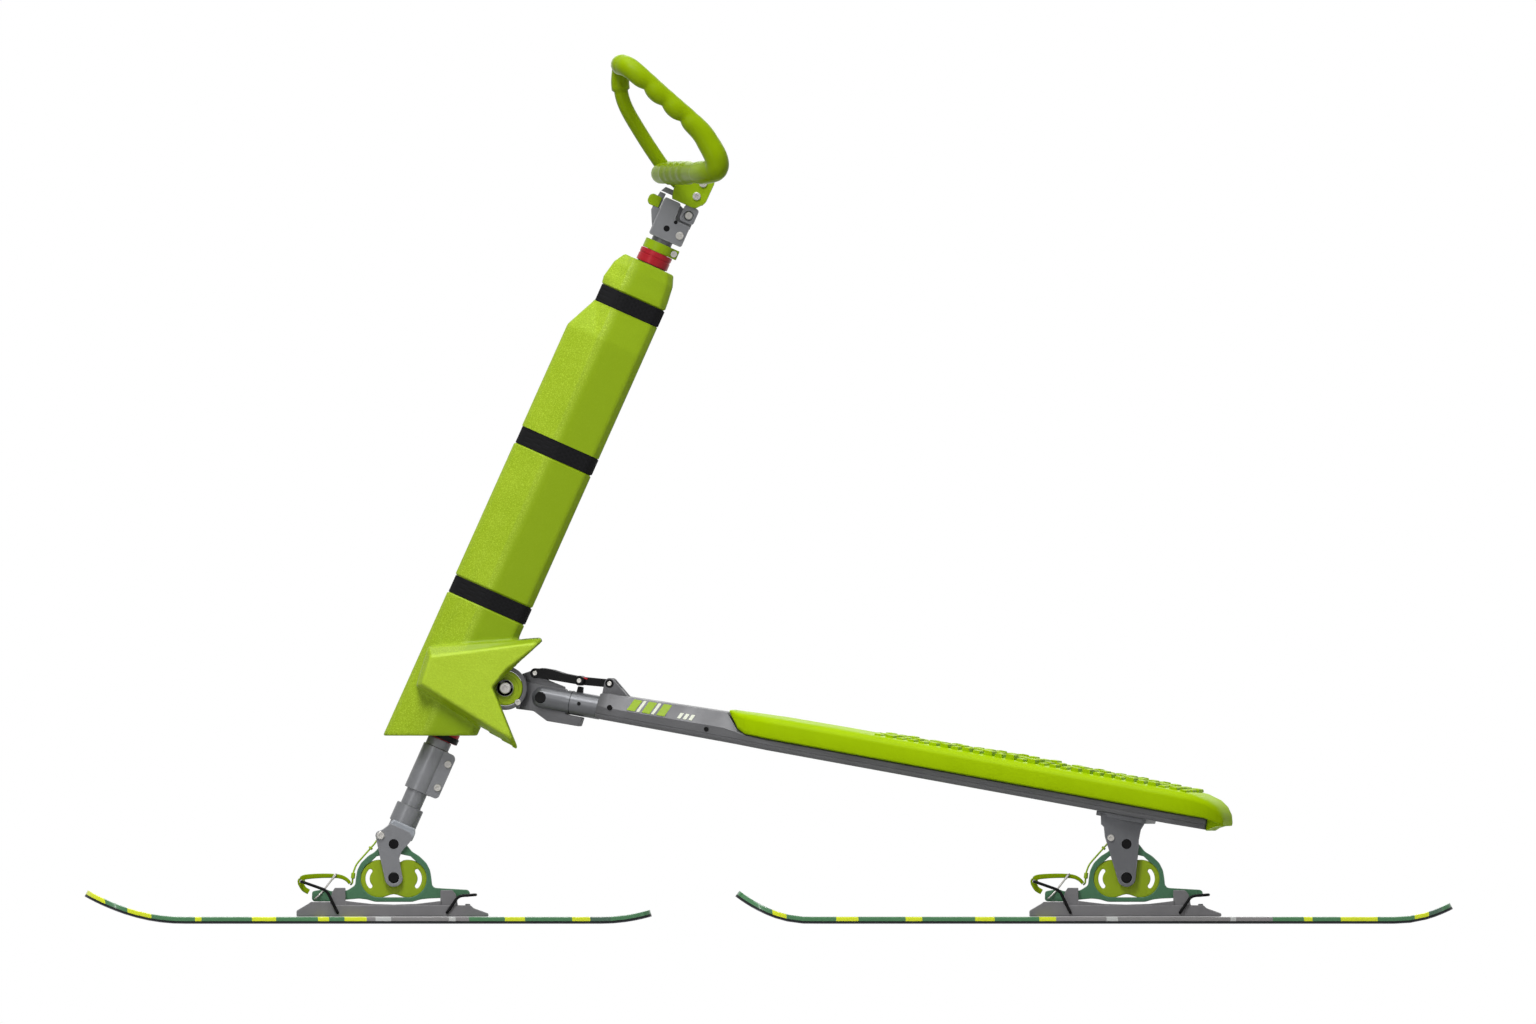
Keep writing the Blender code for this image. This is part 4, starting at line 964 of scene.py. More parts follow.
FOAM = CoverFoam(
    "moulded_foam", (134, 162, 10), (178, 204, 56), 0.44, 0.16, scale=420.0, relief=0.42,
    depth=0.0008, lean=COLUMN_LEAN, texture=Texture.BEADS, specular=0.2, slot="foam",
    ridge=-0.018 + (Matrix.Rotation(-COLUMN_LEAN, 3, "Y") @ FRONT_PIN).x,
)
LIME_GLOSS = Finish(
    "lime_gloss_moulding", (124, 150, 0), (130, 157, 2), 0.34, scale=500.0, relief=0.02,
    worn_and_sheen=(164, 190, 40), wear_and_sheen=0.04, scuffs=0.01, specular=0.07, slot="lime_gloss",
)
DECK = Finish(
    "lime_deck_foam", (160, 194, 0), (165, 199, 3), 0.44, scale=600.0, relief=0.04, depth=0.0003,
    worn_and_sheen=(182, 208, 40), wear_and_sheen=0.08, scuffs=0.02, specular=0.04, slot="deck_foam",
)
LIME_METAL = Finish(
    "lime_powder_coat", (136, 166, 4), (144, 174, 10), 0.36, 0.06, scale=1400.0, relief=0.06,
    worn_and_sheen=(186, 202, 80), wear_and_sheen=0.15, scuffs=0.02, specular=0.18, slot="lime_metal",
)
GREY = Finish(
    "grey_anodised", (124, 125, 128), (117, 118, 121), 0.4, 0.1, 0.35, worn_and_sheen=(162, 162, 164),
    wear_and_sheen=0.4, scuffs=0.05, stretch=(1, 1, 0.15), lean=COLUMN_LEAN, mix_by_cloud=0.35,
)
TUBE = Finish(
    "tube_anodised", (100, 101, 104), (92, 93, 96), 0.36, 0.1, 0.4, worn_and_sheen=(150, 150, 152),
    wear_and_sheen=0.4, scuffs=0.05, stretch=(1, 1, 0.15), mix_by_cloud=0.35,
)
# Fork crown grey, paler than its casting: a painted reflection on the crown's rounded top.
CROWN_PAINTED_SHEEN = Finish(
    "crown_painted_sheen", (146, 150, 156), (136, 140, 146), 0.44, 0.1, 0.35, scale=1100.0, relief=0.1,
    depth=0.0003, worn_and_sheen=(180, 182, 186), wear_and_sheen=0.3, scuffs=0.04, mix_by_cloud=0.4,
)
RAIL = Finish(
    "dark_anodised", (92, 92, 94), (85, 85, 87), 0.45, 0.1, 0.3, relief=0.06, worn_and_sheen=(112, 112, 114),
    wear_and_sheen=0.15, scuffs=0.03, stretch=(0.12, 1, 1), mix_by_cloud=0.35, slot="dark_metal",
)
PLATE = Finish(
    "grey_moulding", (122, 121, 123), (112, 111, 113), 0.46, 0.1, scale=1100.0, relief=0.08,
    depth=0.0003, worn_and_sheen=(150, 149, 150), wear_and_sheen=0.4, scuffs=0.05, mix_by_cloud=0.4, slot="plate_grey",
)
SAGE = Finish(
    "sage_moulding", (70, 116, 84), (62, 106, 76), 0.36, coat=0.04, scale=700.0, relief=0.04,
    depth=0.0003, worn_and_sheen=(116, 156, 128), wear_and_sheen=0.35, scuffs=0.03, mix_by_cloud=0.4, slot="sage",
)
RUBBER = Finish(
    "lime_elastomer", (136, 160, 6), (146, 170, 14), 0.4, 0.1, scale=400.0, relief=0.06,
    depth=0.0004, worn_and_sheen=(160, 180, 40), wear_and_sheen=0.15, scuffs=0.03, slot="elastomer",
)
BLACK = Finish(
    "black_oxide", (6, 6, 7), (13, 13, 14), 0.4, 0.12, worn_and_sheen=(40, 40, 42), wear_and_sheen=0.2, scuffs=0.03,
    specular=0.1, slot="black_metal",
)
SILVER = Finish(
    "zinc_plated", (196, 193, 188), (172, 170, 166), 0.3, 0.12, 0.45, relief=0.06, depth=0.0001,
    worn_and_sheen=(225, 225, 222), wear_and_sheen=0.4,
)
RED = Finish(
    "ring_anodised", (158, 14, 30), (168, 22, 38), 0.36, metallic=0.15, depth=0.0001,
    worn_and_sheen=(180, 60, 70), wear_and_sheen=0.1, specular=0.25, slot="red_anodised",
)
STRAP = Finish(
    "black_webbing", (7, 7, 8), (20, 20, 22), 0.66, 0.1, relief=0.5, depth=0.0006,
    lean=COLUMN_LEAN, texture=Texture.WEAVE, specular=0.1, slot="strap",
)
CORD = Finish(
    "lime_cord", (150, 182, 14), (172, 200, 50), 0.55, 0.1, scale=2600.0, relief=0.3,
    depth=0.0003, stretch=(1, 1, 3), slot="deck_foam",
)
# Black running base, on a layer tall enough to stand also as painted shade along the underside of the
# ski.
BASE_AND_SHADE = Finish(
    "black_base_and_painted_shade", (10, 12, 14), (20, 22, 26), 0.38, 0.12, scale=700.0, relief=0.06,
    stretch=(0.06, 1, 1), scuffs=0.06, worn_and_sheen=(60, 64, 70), specular=0.2, slot="black_metal",
)
EDGE_STEEL = Finish(
    "edge_steel", (84, 86, 90), (66, 68, 72), 0.34, 0.14, 0.8, relief=0.06, depth=0.0001,
    stretch=(0.1, 1, 1),
)
PRINT = Finish(
    "pale_print", (214, 218, 200), (204, 208, 190), 0.4, relief=0.03, depth=0.0001, scuffs=0.06,
    worn_and_sheen=(150, 152, 140), mix_by_cloud=0.3,
)


class SubAssembly:
    """Pieces that are drawn in one frame and mostly ride on one body."""

    prefix: str = ""
    body: str = ""
    place: Matrix

    def own(self, label: str) -> str:
        """Returns: the full name of a piece, node or body of this group."""
        return self.prefix + label

    def dress(
        self,
        solid: Solid,
        label: str,
        look: Finish,
        node: str = "",
        body: str = "",
        place: Matrix | None = None,
        smooth: float = 35.0,
        slot: str = "",
    ) -> bpy.types.Object:
        """Turns a solid into a piece in its finish, riding on its body.

        Args:
            solid: its shape.
            label: its name, without the prefix.
            look: its finish.
            node: the node that it stands for, without the prefix.
            body: the body it rides on, if not the group's.
            place: carries it into the row frame, if not as the group's frame does.
            smooth: edges flatter than this many degrees shade smooth.
            slot: not used.

        Returns:
            The finished object.
        """
        carry = self.place if place is None else place
        bmesh.ops.transform(solid.mesh, matrix=carry, verts=solid.mesh.verts)
        name = self.own(label)
        data = bpy.data.meshes.new(name)
        solid.mesh.to_mesh(data)
        solid.mesh.free()
        data.shade_smooth()
        data.set_sharp_from_angle(angle=math.radians(smooth))
        data.materials.append(look.material())
        piece = add_object(name, data)
        piece.modifiers.new("even", "WEIGHTED_NORMAL").keep_sharp = True
        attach(piece, body or self.body)
        if node:
            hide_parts(self.own(node))
        log.info("%s: %d faces on %s", name, len(data.polygons), body or self.body)
        return piece


# Column
@dataclass
class Column(SubAssembly):
    """The head tube with its foam cover, straps, bearing rings and camber axle."""

    tube_bottom: float = 0.1703
    tube_top: float = 0.859
    ring_radius: float = 0.0225
    ring_height: float = 0.015
    bore: float = 0.0146
    strap_width: float = 0.024
    strap_thickness: float = 0.0018
    axle_end: float = 0.0523
    cover_voxel: float = 0.0024
    groove: float = 0.0026
    groove_lip: float = 0.0022
    bore_clear: float = 0.026
    wing_edge: tuple[float, float] = (0.064, 0.0598)  # where the rims stand, and where they go
    tip_width: float = 0.0085
    drawn_low: Point = (0.0105, -0.0036)  # how far the tips are drawn out
    drawn_high: Point = (0.0085, 0.0062)
    low_tips: tuple[Point, ...] = ((0.0965, -0.0687), (0.0789, -0.0558))
    high_tips: tuple[Point, ...] = ((0.0675, 0.0795), (0.0616, 0.0687))
    lap_edge: Point = (-0.016, -0.03)  # the lap lies behind and beside this

    def __post_init__(self) -> None:
        """Finds the frame and the places along the column."""
        self.body = "spine"
        self.place = column_frame()
        top, axle = self.tube_top, AXLE[1]
        self.straps = (top - 0.0655, (top + axle) / 2 + 0.0183, axle + 0.1005)

    def shape_wings(self, mesh: bmesh.types.BMesh) -> None:
        """Steepens the rims of the wings, and draws out and rounds their points.

        Args:
            mesh: the cover in the column's frame.
        """
        for vert in mesh.verts:
            if abs(abs(vert.co.y) - self.wing_edge[0]) < 0.0004:
                vert.co.y = math.copysign(self.wing_edge[1], vert.co.y)
        moves = {}
        for tips, drawn in ((self.low_tips, self.drawn_low), (self.high_tips, self.drawn_high)):
            for x, z in tips:
                spot = Vector((x, z + AXLE[1]))
                for vert in mesh.verts:
                    reach = (Vector((vert.co.x, vert.co.z)) - spot).length
                    if abs(vert.co.y) > 0.05 and reach < 0.002:
                        moves[vert] = Vector((drawn[0], 0, drawn[1]))
        for vert, move in moves.items():
            vert.co += move
        edges = [edge for edge in mesh.edges if all(vert in moves for vert in edge.verts)]
        bmesh.ops.bevel(
            mesh, geom=edges, offset=self.tip_width, offset_type="WIDTH", segments=4, profile=0.5,
            affect="EDGES", clamp_overlap=True, material=-1,
        )

    def cut_grooves(self, mesh: bmesh.types.BMesh) -> None:
        """Sinks a shallow groove for each strap into the cover.

        Args:
            mesh: the cover in the column's frame.
        """
        half, lip = self.strap_width / 2, self.groove_lip
        for middle in self.straps:
            for level in (-half - lip, -half, half, half + lip):
                faces = [face for face in mesh.faces if abs(face.verts[0].co.z - middle) < 0.03]
                verts = {vert for face in faces for vert in face.verts}
                edges = {edge for face in faces for edge in face.edges}
                bmesh.ops.bisect_plane(
                    mesh, geom=[*verts, *edges, *faces], dist=1e-6,
                    plane_co=(0, 0, middle + level), plane_no=(0, 0, 1),
                )
        mesh.normal_update()
        moves = []
        for vert in mesh.verts:
            outside = math.hypot(vert.co.x, vert.co.y) > self.bore_clear
            if outside and any(abs(vert.co.z - middle) < half + 1e-5 for middle in self.straps):
                moves.append((vert, Vector((vert.normal.x, vert.normal.y, 0)).normalized()))
        for vert, away in moves:
            vert.co -= away * self.groove

    def build_cover(self) -> bmesh.types.BMesh:
        """Fuses and softens the foam cover from its solid.

        Returns:
            A copy of its surface in the column's frame.
        """
        soft = Solid().node("foam_cover")
        soft.mesh.transform(self.place.inverted())
        self.shape_wings(soft.mesh)
        data = bpy.data.meshes.new("cover_work")
        soft.mesh.to_mesh(data)
        soft.mesh.free()
        holder = add_object("cover_work", data)
        remesh = holder.modifiers.new("fuse", "REMESH")
        remesh.mode = "VOXEL"
        remesh.voxel_size = self.cover_voxel
        smooth = holder.modifiers.new("soften", "SMOOTH")
        smooth.factor = 0.5
        smooth.iterations = 3
        cover = Solid().take(settle(holder))
        bmesh.ops.recalc_face_normals(cover.mesh, faces=cover.mesh.faces)
        self.cut_grooves(cover.mesh)
        surface = cover.mesh.copy()
        self.dress(cover, "cover", FOAM, "foam_cover", smooth=62)
        return surface

    def band(
        self, surface: bmesh.types.BMesh, middle: float, base: float, wall: float, lap: bool
    ) -> Solid:
        """Lays a band on the surface of the cover.

        Args:
            surface: the cover's surface in the column's frame.
            middle: height of the band's middle.
            base: how far its inside stands off.
            wall: its thickness.
            lap: whether it only covers the rear of the far side.

        Returns:
            The band.
        """
        work = surface.copy()
        reach = self.strap_width / 2 + 1e-5
        half = reach - (0.0008 if lap else 0.0)
        drop = []
        for face in work.faces:
            spot = face.calc_center_median()
            inside = all(abs(vert.co.z - middle) < reach for vert in face.verts)
            outside = math.hypot(spot.x, spot.y) > self.bore_clear
            before_lap = lap and (spot.x < self.lap_edge[0] or spot.y < self.lap_edge[1])
            if before_lap or not (inside and outside):
                drop.append(face)
        bmesh.ops.delete(work, geom=drop, context="FACES")
        work.normal_update()
        away = {}
        for vert in work.verts:
            flat = Vector((vert.normal.x, vert.normal.y, 0)).normalized()
            vert.co += flat * base
            vert.co.z = middle + max(-half, min(half, vert.co.z - middle))
            away[tuple(vert.co)] = flat
        made = bmesh.ops.extrude_face_region(work, geom=work.faces[:])["geom"]
        for vert in verts_of(made):
            vert.co += away[tuple(vert.co)] * wall
        bmesh.ops.recalc_face_normals(work, faces=work.faces)
        return Solid().take(work)

    def build_straps(self, surface: bmesh.types.BMesh) -> None:
        """Wraps the three bands, each with its end lapped over itself.

        Args:
            surface: the cover's surface in the column's frame.
        """
        wall = self.strap_thickness - 0.0004
        for number, middle in enumerate(self.straps, 1):
            band = self.band(surface, middle, 0.0001, wall, False)
            band.add(self.band(surface, middle, wall + 0.0002, 0.0013, True))
            self.dress(band, f"strap_{number}", STRAP, f"cover_strap_{number}", smooth=50)
        surface.free()

    def build_rings(self) -> None:
        """Turns the two bearing rings with their grooves."""
        bore, outer, edge, tall = self.bore, self.ring_radius, 0.0009, self.ring_height
        wide = outer - 0.0006
        lows = {
            "lower_bearing_ring": (self.tube_bottom - GAP - tall, 0.0),
            "upper_bearing_ring": (self.tube_top + GAP, 0.0034),
        }
        for name, (low, skirt) in lows.items():
            profile = [
                (bore, low + edge), (bore + edge, low), (0.0207, low), (0.0207, low - skirt),
                (outer - 0.0005, low - skirt), (outer, low - skirt + 0.0005),
                (outer, low + 0.42 * tall), (wide, low + 0.45 * tall), (wide, low + 0.55 * tall),
                (outer, low + 0.58 * tall), (outer, low + tall - edge), (outer - edge, low + tall),
                (bore + edge, low + tall), (bore, low + tall - edge),
            ]
            self.dress(Solid().turned(profile, segments=64), name + "_turned", RED, name)
        low, wide = lows["lower_bearing_ring"][0], 0.0239
        seal = [(outer - 0.001, low + 0.0006), (wide - 0.0005, low + 0.0006), (wide, low + 0.0011)]
        seal += [(wide, low + 0.008), (wide - 0.0005, low + 0.0085), (outer - 0.001, low + 0.0085)]
        self.dress(Solid().turned(seal, segments=64), "lower_seal", BLACK)

    def build_spine(self) -> None:
        """Gives the tube, the yoke and the camber axle their finish and fasteners."""
        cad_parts["frame_spine"].data.materials[0] = RAIL.material()
        heads = Solid()
        Bolt(0.0077, 0.0042, 0.0036).pair(heads, AXLE, self.axle_end + 0.0022)
        washer = [(0.006, -0.001), (0.0115, -0.001), (0.0115, 0.0018), (0.0108, 0.0025)]
        washer += [(0.006, 0.0025)]
        for facing in (-1, 1):
            heads.turned(washer, seat((AXLE[0], facing * self.axle_end, AXLE[1]), facing))
        self.dress(heads, "axle_bolts", SILVER)

    def build(self) -> None:
        """Builds the whole group."""
        self.build_straps(self.build_cover())
        self.build_rings()
        self.build_spine()


@dataclass
class Steering(SubAssembly):
    """Everything that turns with the front ski, up to the hinge of the stem."""

    radius: float = 0.0143
    bottom: float = 0.11
    collar: tuple[float, float, float] = (0.0215, 0.0275, 0.01)  # radius, reach and half width of the ear
    collar_low: float = 0.8746
    collar_tall: float = 0.013
    clamp_low: float = 0.078
    clamp_high: float = 0.143
    clamp_radius: float = 0.0185
    ear_half: float = 0.0142
    sleeve: tuple[float, float, float] = (0.019, 0.029, 0.056)  # radius, bottom, top
    crown: tuple[float, float, float] = (-0.0163, 0.0211, 0.0155)  # front, rear, bottom
    plate: tuple[float, float] = (0.018, 0.024)  # inside and outside, off the middle
    housing_half: float = 0.02
    housing_front: float = -0.0209

    def __post_init__(self) -> None:
        """Finds the frames."""
        self.body = "steering"
        self.place = column_frame()
        self.pin = ski_frame(0)

    def split_ring(self) -> list[Point]:
        """Returns: the collar with its ear to the rear, seen down the column."""
        radius, reach, half = self.collar
        bore, soft, slit = self.radius + GAP, 0.0025, 0.001
        meeting = math.degrees(math.asin(half / radius))
        opening = math.degrees(math.asin(slit / bore))
        outline = [(reach, slit), (reach, half - soft), (reach - soft * 0.3, half - soft * 0.3)]
        outline += [(reach - soft, half)]
        back = [(x, -y) for x, y in reversed(outline)]
        outline += arc((0, 0), radius, meeting, 360 - meeting, 60) + back
        return outline + arc((0, 0), bore, 360 - opening, opening, 60)

    def build_tubes(self) -> None:
        """Turns the steerer, and builds the collar and the lower clamp round it."""
        inner, top = self.radius - 0.0025, HINGE[1] - 0.0259
        profile = [(inner, self.bottom), (self.radius, self.bottom), (self.radius, top), (inner, top)]
        self.dress(Solid().turned(profile, segments=64), "steerer", TUBE, "steerer_tube")

        high = self.collar_low + self.collar_tall
        collar = Solid().prism(self.split_ring(), self.collar_low, high, 0.0008, axis=Axis.UP)
        self.dress(collar, "collar", LIME_METAL, "stem_collar")

        clamp = Solid()
        low, high, soft = self.clamp_low, self.clamp_high, 0.0008
        bore, outer = self.radius + GAP, self.clamp_radius
        profile = [(bore, low), (outer - soft, low), (outer, low + soft)]
        profile += [(outer, high - soft), (outer - soft, high), (bore, high)]
        clamp.turned(profile, segments=64)
        cheek = [(0.01, low + 0.0006), (0.0268, low + 0.0006), (0.03, low + 0.0044)]
        cheek += [(0.03, high - 0.0052), (0.0262, high - 0.0006), (0.01, high - 0.0006)]
        clamp.cheeks(rounded(cheek, 0.003), 0.0009, self.ear_half, 0.001)
        bore, neck, low, high = self.radius + 2 * GAP, 0.0165, 0.142, 0.1546
        profile = [(bore, low), (neck, low), (neck, high - 0.0006), (neck - 0.0006, high), (bore, high)]
        clamp.turned(profile, segments=64)
        self.dress(clamp, "clamp", GREY, "lower_clamp")

    def build_fork(self) -> None:
        """Builds the adapter block and the two plates that carry the front ski."""
        radius, low, high = self.sleeve
        front, rear, bottom = self.crown
        soft, tube, top = 0.001, self.radius, self.bottom - GAP
        profile = [(0, bottom + 0.004), (radius - 0.002, bottom + 0.004), (radius - 0.002, low)]
        profile += [(radius - soft, low), (radius, low + soft), (radius, high - soft)]
        profile += [(radius - soft, high), (tube + 0.0004, high), (tube, high + 0.0004)]
        profile += [(tube, top - soft), (tube - soft, top), (0, top)]
        fork = Solid().turned(profile, segments=64)
        fork.mesh.transform(self.pin.inverted() @ self.place)
        crown = [(front, bottom - 0.003), (rear, bottom - 0.003), (rear, low - 0.004)]
        crown += [(rear - 0.003, low + 0.002), (front + 0.003, low + 0.002), (front, low - 0.004)]
        # The crown's pale finish is a painted reflection on its rounded top.
        sheen_crown = Solid().prism(rounded(crown, 0.003), -0.0236, 0.0236, 0.003)
        self.dress(sheen_crown, "fork_crown", CROWN_PAINTED_SHEEN)
        outline = [(0.0075, -0.0193), (0.0111, -0.0102), (0.0188, -0.0012), (0.026, 0.0075)]
        outline += [(0.0226, 0.0158), (-0.004, 0.028), (-0.0145, 0.02)]
        outline += arc(FRONT_BOLT, 0.0068, 90, 200, 14) + [(-0.0196, -0.0129)]
        outline += arc((0, -LOWER_PIN_DROP), 0.0123, 185, 355, 34)
        fork.cheeks(outline, *self.plate, 0.0012, (ring((0, -LOWER_PIN_DROP), 0.0071),))
        self.dress(fork, "fork", GREY, "front_fork", place=self.pin, smooth=38)
        pin = cross_pin((0, 0), 0.0067, self.plate[1] + 0.0012)
        self.dress(pin, "fork_pin", BLACK, place=self.pin)

    def build_housing(self) -> None:
        """Builds the stem housing with the hinge tongue, its pin and the latch ears."""
        back, up = HINGE
        low, shoulder, top = up - 0.0436, up - 0.0129, up + 0.0106
        front = self.housing_front
        outline = [(front, low), (0.027, low), (0.027, shoulder), (0.0045, shoulder)]
        outline += [(0.003, top), (front + 0.0016, top), (front, top - 0.004)]
        half = self.housing_half
        housing = Solid().prism(rounded(outline, 0.0035), -half, half, 0.0016)
        tongue = arc((back, up), 0.0088, 0, 180, 24)
        tongue += [(back - 0.0088, shoulder - 0.004), (back + 0.0088, shoulder - 0.004)]
        housing.prism(tongue, -0.009, 0.009, 0.0008)
        wall = [(0.002, shoulder - 0.004), (back - 0.006, shoulder - 0.004)]
        wall += [(back - 0.006, up + 0.004), (0.002, up + 0.0085)]
        housing.prism(wall, -0.0086, 0.0086, 0.0006)
        ear = arc(LATCH_PIN, 0.005, 90, 215, 16)
        ear += [(-0.0205, low + 0.01), (-0.018, LATCH_PIN[1] + 0.005)]
        housing.cheeks(ear, 0.0053, 0.0095, 0.0006)
        housing.turned(pin_profile(0.006, half), Matrix.Translation((back, 0, up)) @ ACROSS, 40)
        self.dress(housing, "housing", GREY, "stem_housing", smooth=38)

    def build_bolts(self) -> None:
        """Sets the clamp, collar, plate and housing bolts, and two flat black discs as painted shade in
        the housing's holes.
        """
        half, cap = self.housing_half, Bolt(0.0054)
        silver = Solid()
        cap.pair(silver, (0.0187, 0.9071), half)
        Bolt(0.0046, 0.0024, 0.0022).pair(silver, (0.0216, 0.8811), self.collar[2])
        for height in (0.0932, 0.1279):
            Bolt(0.005, 0.0026, 0.0025).pair(silver, (0.0232, height), self.ear_half)
        self.dress(silver, "stem_bolts", SILVER)
        plates = Solid()
        cap.pair(plates, FRONT_BOLT, self.plate[1])
        self.dress(plates, "fork_bolts", SILVER, place=self.pin)
        # Flat black discs: painted shade where the housing has holes.
        holes = Solid()
        for facing in (-1, 1):
            for (x, z), size in (((-0.0013, 0.909), 0.0042), ((0.0065, 0.9215), 0.0026)):
                place = seat((x, facing * (half + 0.0001), z), facing)
                holes.turned([(0, 0), (size, 0), (size, -0.002), (0, -0.002)], place, 32)
        self.dress(holes, "housing_hole_shade", BLACK)

    def build(self) -> None:
        """Builds the whole group."""
        self.build_tubes()
        self.build_fork()
        self.build_housing()
        self.build_bolts()


@dataclass
class Handlebar(SubAssembly):
    """The folding bracket, its latch and the closed handlebar loop."""

    bar: float = 0.013
    half_width: float = 0.265
    strut: float = 0.0095
    cheek: float = 0.007
    block_half: float = 0.0165
    foot: float = 0.0117
    grooves: tuple[Point, ...] = ((-0.12, 0.142), (-0.089, 0.132), (-0.058, 0.122))  # finger dips
    ribs: tuple[float, ...] = (0.07, 0.098, 0.126, 0.154)  # off the middle
    rib_height: float = 0.0022
    rib_reach: float = 0.0055
    groove_depth: float = 0.0036
    groove_reach: float = 0.0085

    def __post_init__(self) -> None:
        """Finds the hinge's frame."""
        self.body = "handlebar"
        self.place = column_frame() @ Matrix.Translation((HINGE[0], 0, HINGE[1]))

    def build_bracket(self) -> None:
        """Builds the two cheeks, their floor, the hinge knuckles and the striker."""
        cheek = [(-0.0306, self.foot), (0.004, self.foot), (0.014, 0.0241), (0.0144, 0.056)]
        cheek += [(-0.0039, 0.0531), (-0.0347, 0.0308)]
        inner = self.block_half + GAP
        outer = inner + self.cheek
        bracket = Solid().cheeks(rounded(cheek, 0.004), inner, outer, 0.0016)
        floor = [(-0.03, self.foot), (0.004, self.foot), (0.0085, self.foot + 0.006)]
        floor += [(-0.0312, self.foot + 0.0065)]
        bracket.prism(floor, -inner - 0.001, inner + 0.001, 0.0004)
        self.dress(bracket, "bracket", LIME_METAL, "handlebar_bracket")
        steel = Solid()
        striker = [(-0.0479, 0.0159), (-0.0285, 0.0159), (-0.0285, 0.0231), (-0.044, 0.0231)]
        steel.prism(striker, -0.005, 0.005)
        wide = 0.0105
        top = self.foot + 0.001
        knuckle = rounded([(-wide, -wide), (wide, -wide), (wide, top), (-wide, top)], 0.005, 8)
        steel.cheeks(knuckle, 0.0093, 0.0188, 0.0012, (ring((0, 0), 0.0063),))
        self.dress(steel, "hinge_knuckles", GREY)
        bolts = Solid()
        for spot in ((0.0001, 0.0477), (-0.0009, 0.0283)):
            Bolt().pair(bolts, spot, outer)
        Bolt(0.0048, 0.0022, 0.0024).pair(bolts, (0.0, 0.0), 0.02)
        self.dress(bolts, "bracket_bolts", SILVER)

    def build_latch(self) -> None:
        """Builds the fold latch lever and its nub."""
        pin = column_frame() @ Matrix.Translation((LATCH_PIN[0], 0, LATCH_PIN[1]))
        lever = [(0.0048, 0), (0.0048, 0.0262), (-0.0036, 0.0262), (-0.005, 0.0152)]
        lever += [(-0.005, 0.0066)] + arc((0, 0), 0.0047, 180, 350, 20)
        latch = Solid().prism(lever, -0.005, 0.005, 0.0008, holes=(ring((0, 0), 0.0028, 20),))
        self.dress(latch, "latch_lever", GREY, "stem_latch_lever", body="stem_latch", place=pin)
        nub = [(0.003, 0.0045), (0.003, 0.0195), (-0.011, 0.0202), (-0.0148, 0.0165)]
        nub += [(-0.0148, 0.0085), (-0.011, 0.0045)]
        thumb = Solid().prism(rounded(nub, 0.0025), -0.007, 0.007, 0.0018)
        self.dress(thumb, "latch_nub", LIME_METAL, body="stem_latch", place=pin)

    def loop_path(self) -> tuple[list[Vector], list[float]]:
        """Finds the run of the bar and its thickness.

        Returns:
            Points along its middle and a radius for each, thinner at the finger grooves.
        """
        wide, back, high = self.half_width, -0.1659, 0.1491
        side = [
            (-0.0509, 0.05, 0.0401), (-0.0189, wide * 0.66, 0.0551),
            (-0.0009, wide - 0.03, 0.0641), (0.0081, wide - 0.007, 0.0731),
            (0.0031, wide, 0.0851), (-0.0139, wide, 0.0991), (-0.0379, wide, 0.1131),
            (-0.0989, wide, 0.1326), (-0.1469, wide - 0.003, 0.1481),
            (-0.1619, wide - 0.017, 0.1501), (back, wide - 0.04, high), (back, wide * 0.415, high),
        ]
        knots = [(-0.0569, 0.0, 0.0371), *side, (back, 0.0, high), *other_side(side)]
        path, radii = [], []
        for point in smooth_path(knots, 20, closed=True):
            dip = 0.0
            if abs(point.y) > wide - 0.03:
                for x, z in self.grooves:
                    reach = math.hypot(point.x - x, point.z - z - 0.004)
                    dip += self.groove_depth * math.exp(-((reach / self.groove_reach) ** 2))
            corner = math.exp(-(((point.x - 0.002) / 0.03) ** 2)) * (abs(point.y) > wide - 0.06)
            rib = 0.0
            if point.z < 0.066:
                offs = [(abs(point.y) - y) / self.rib_reach for y in self.ribs]
                rib = self.rib_height * sum(math.exp(-(off**2)) for off in offs)
            path.append(point + Vector((0.35, 0, 0.94)) * dip)
            radii.append(self.bar * (1.08 + 0.14 * corner) - dip + rib)
        return path, radii

    def build_loop(self) -> None:
        """Bends the loop and the strut, and builds the block in the bracket."""
        path, radii = self.loop_path()
        loop = Solid().tube(path, radii, closed=True, sides=7)
        strut = [(-0.1649, 0, 0.1471), (-0.1559, 0, 0.1231), (-0.1379, 0, 0.1001)]
        strut += [(-0.1009, 0, 0.0731), (-0.0649, 0, 0.0501), (-0.0439, 0, 0.0391)]
        line = smooth_path(strut, 10)
        thick = [self.strut * (1.3 if index < 13 else 1.0) for index in range(len(line))]
        loop.tube(line, thick, sides=6)
        block = [(-0.0489, 0.0311), (-0.0279, 0.0239), (-0.0249, self.foot + 0.007)]
        block += [(0.0121, self.foot + 0.007), (0.0141, 0.0641), (-0.0089, 0.0611), (-0.0389, 0.0491)]
        loop.prism(rounded(block, 0.004), -self.block_half, self.block_half, 0.0015)
        self.dress(loop, "loop", LIME_GLOSS, "handlebar_loop", smooth=50)

    def build(self) -> None:
        """Builds the whole group."""
        self.build_bracket()
        self.build_latch()
        self.build_loop()


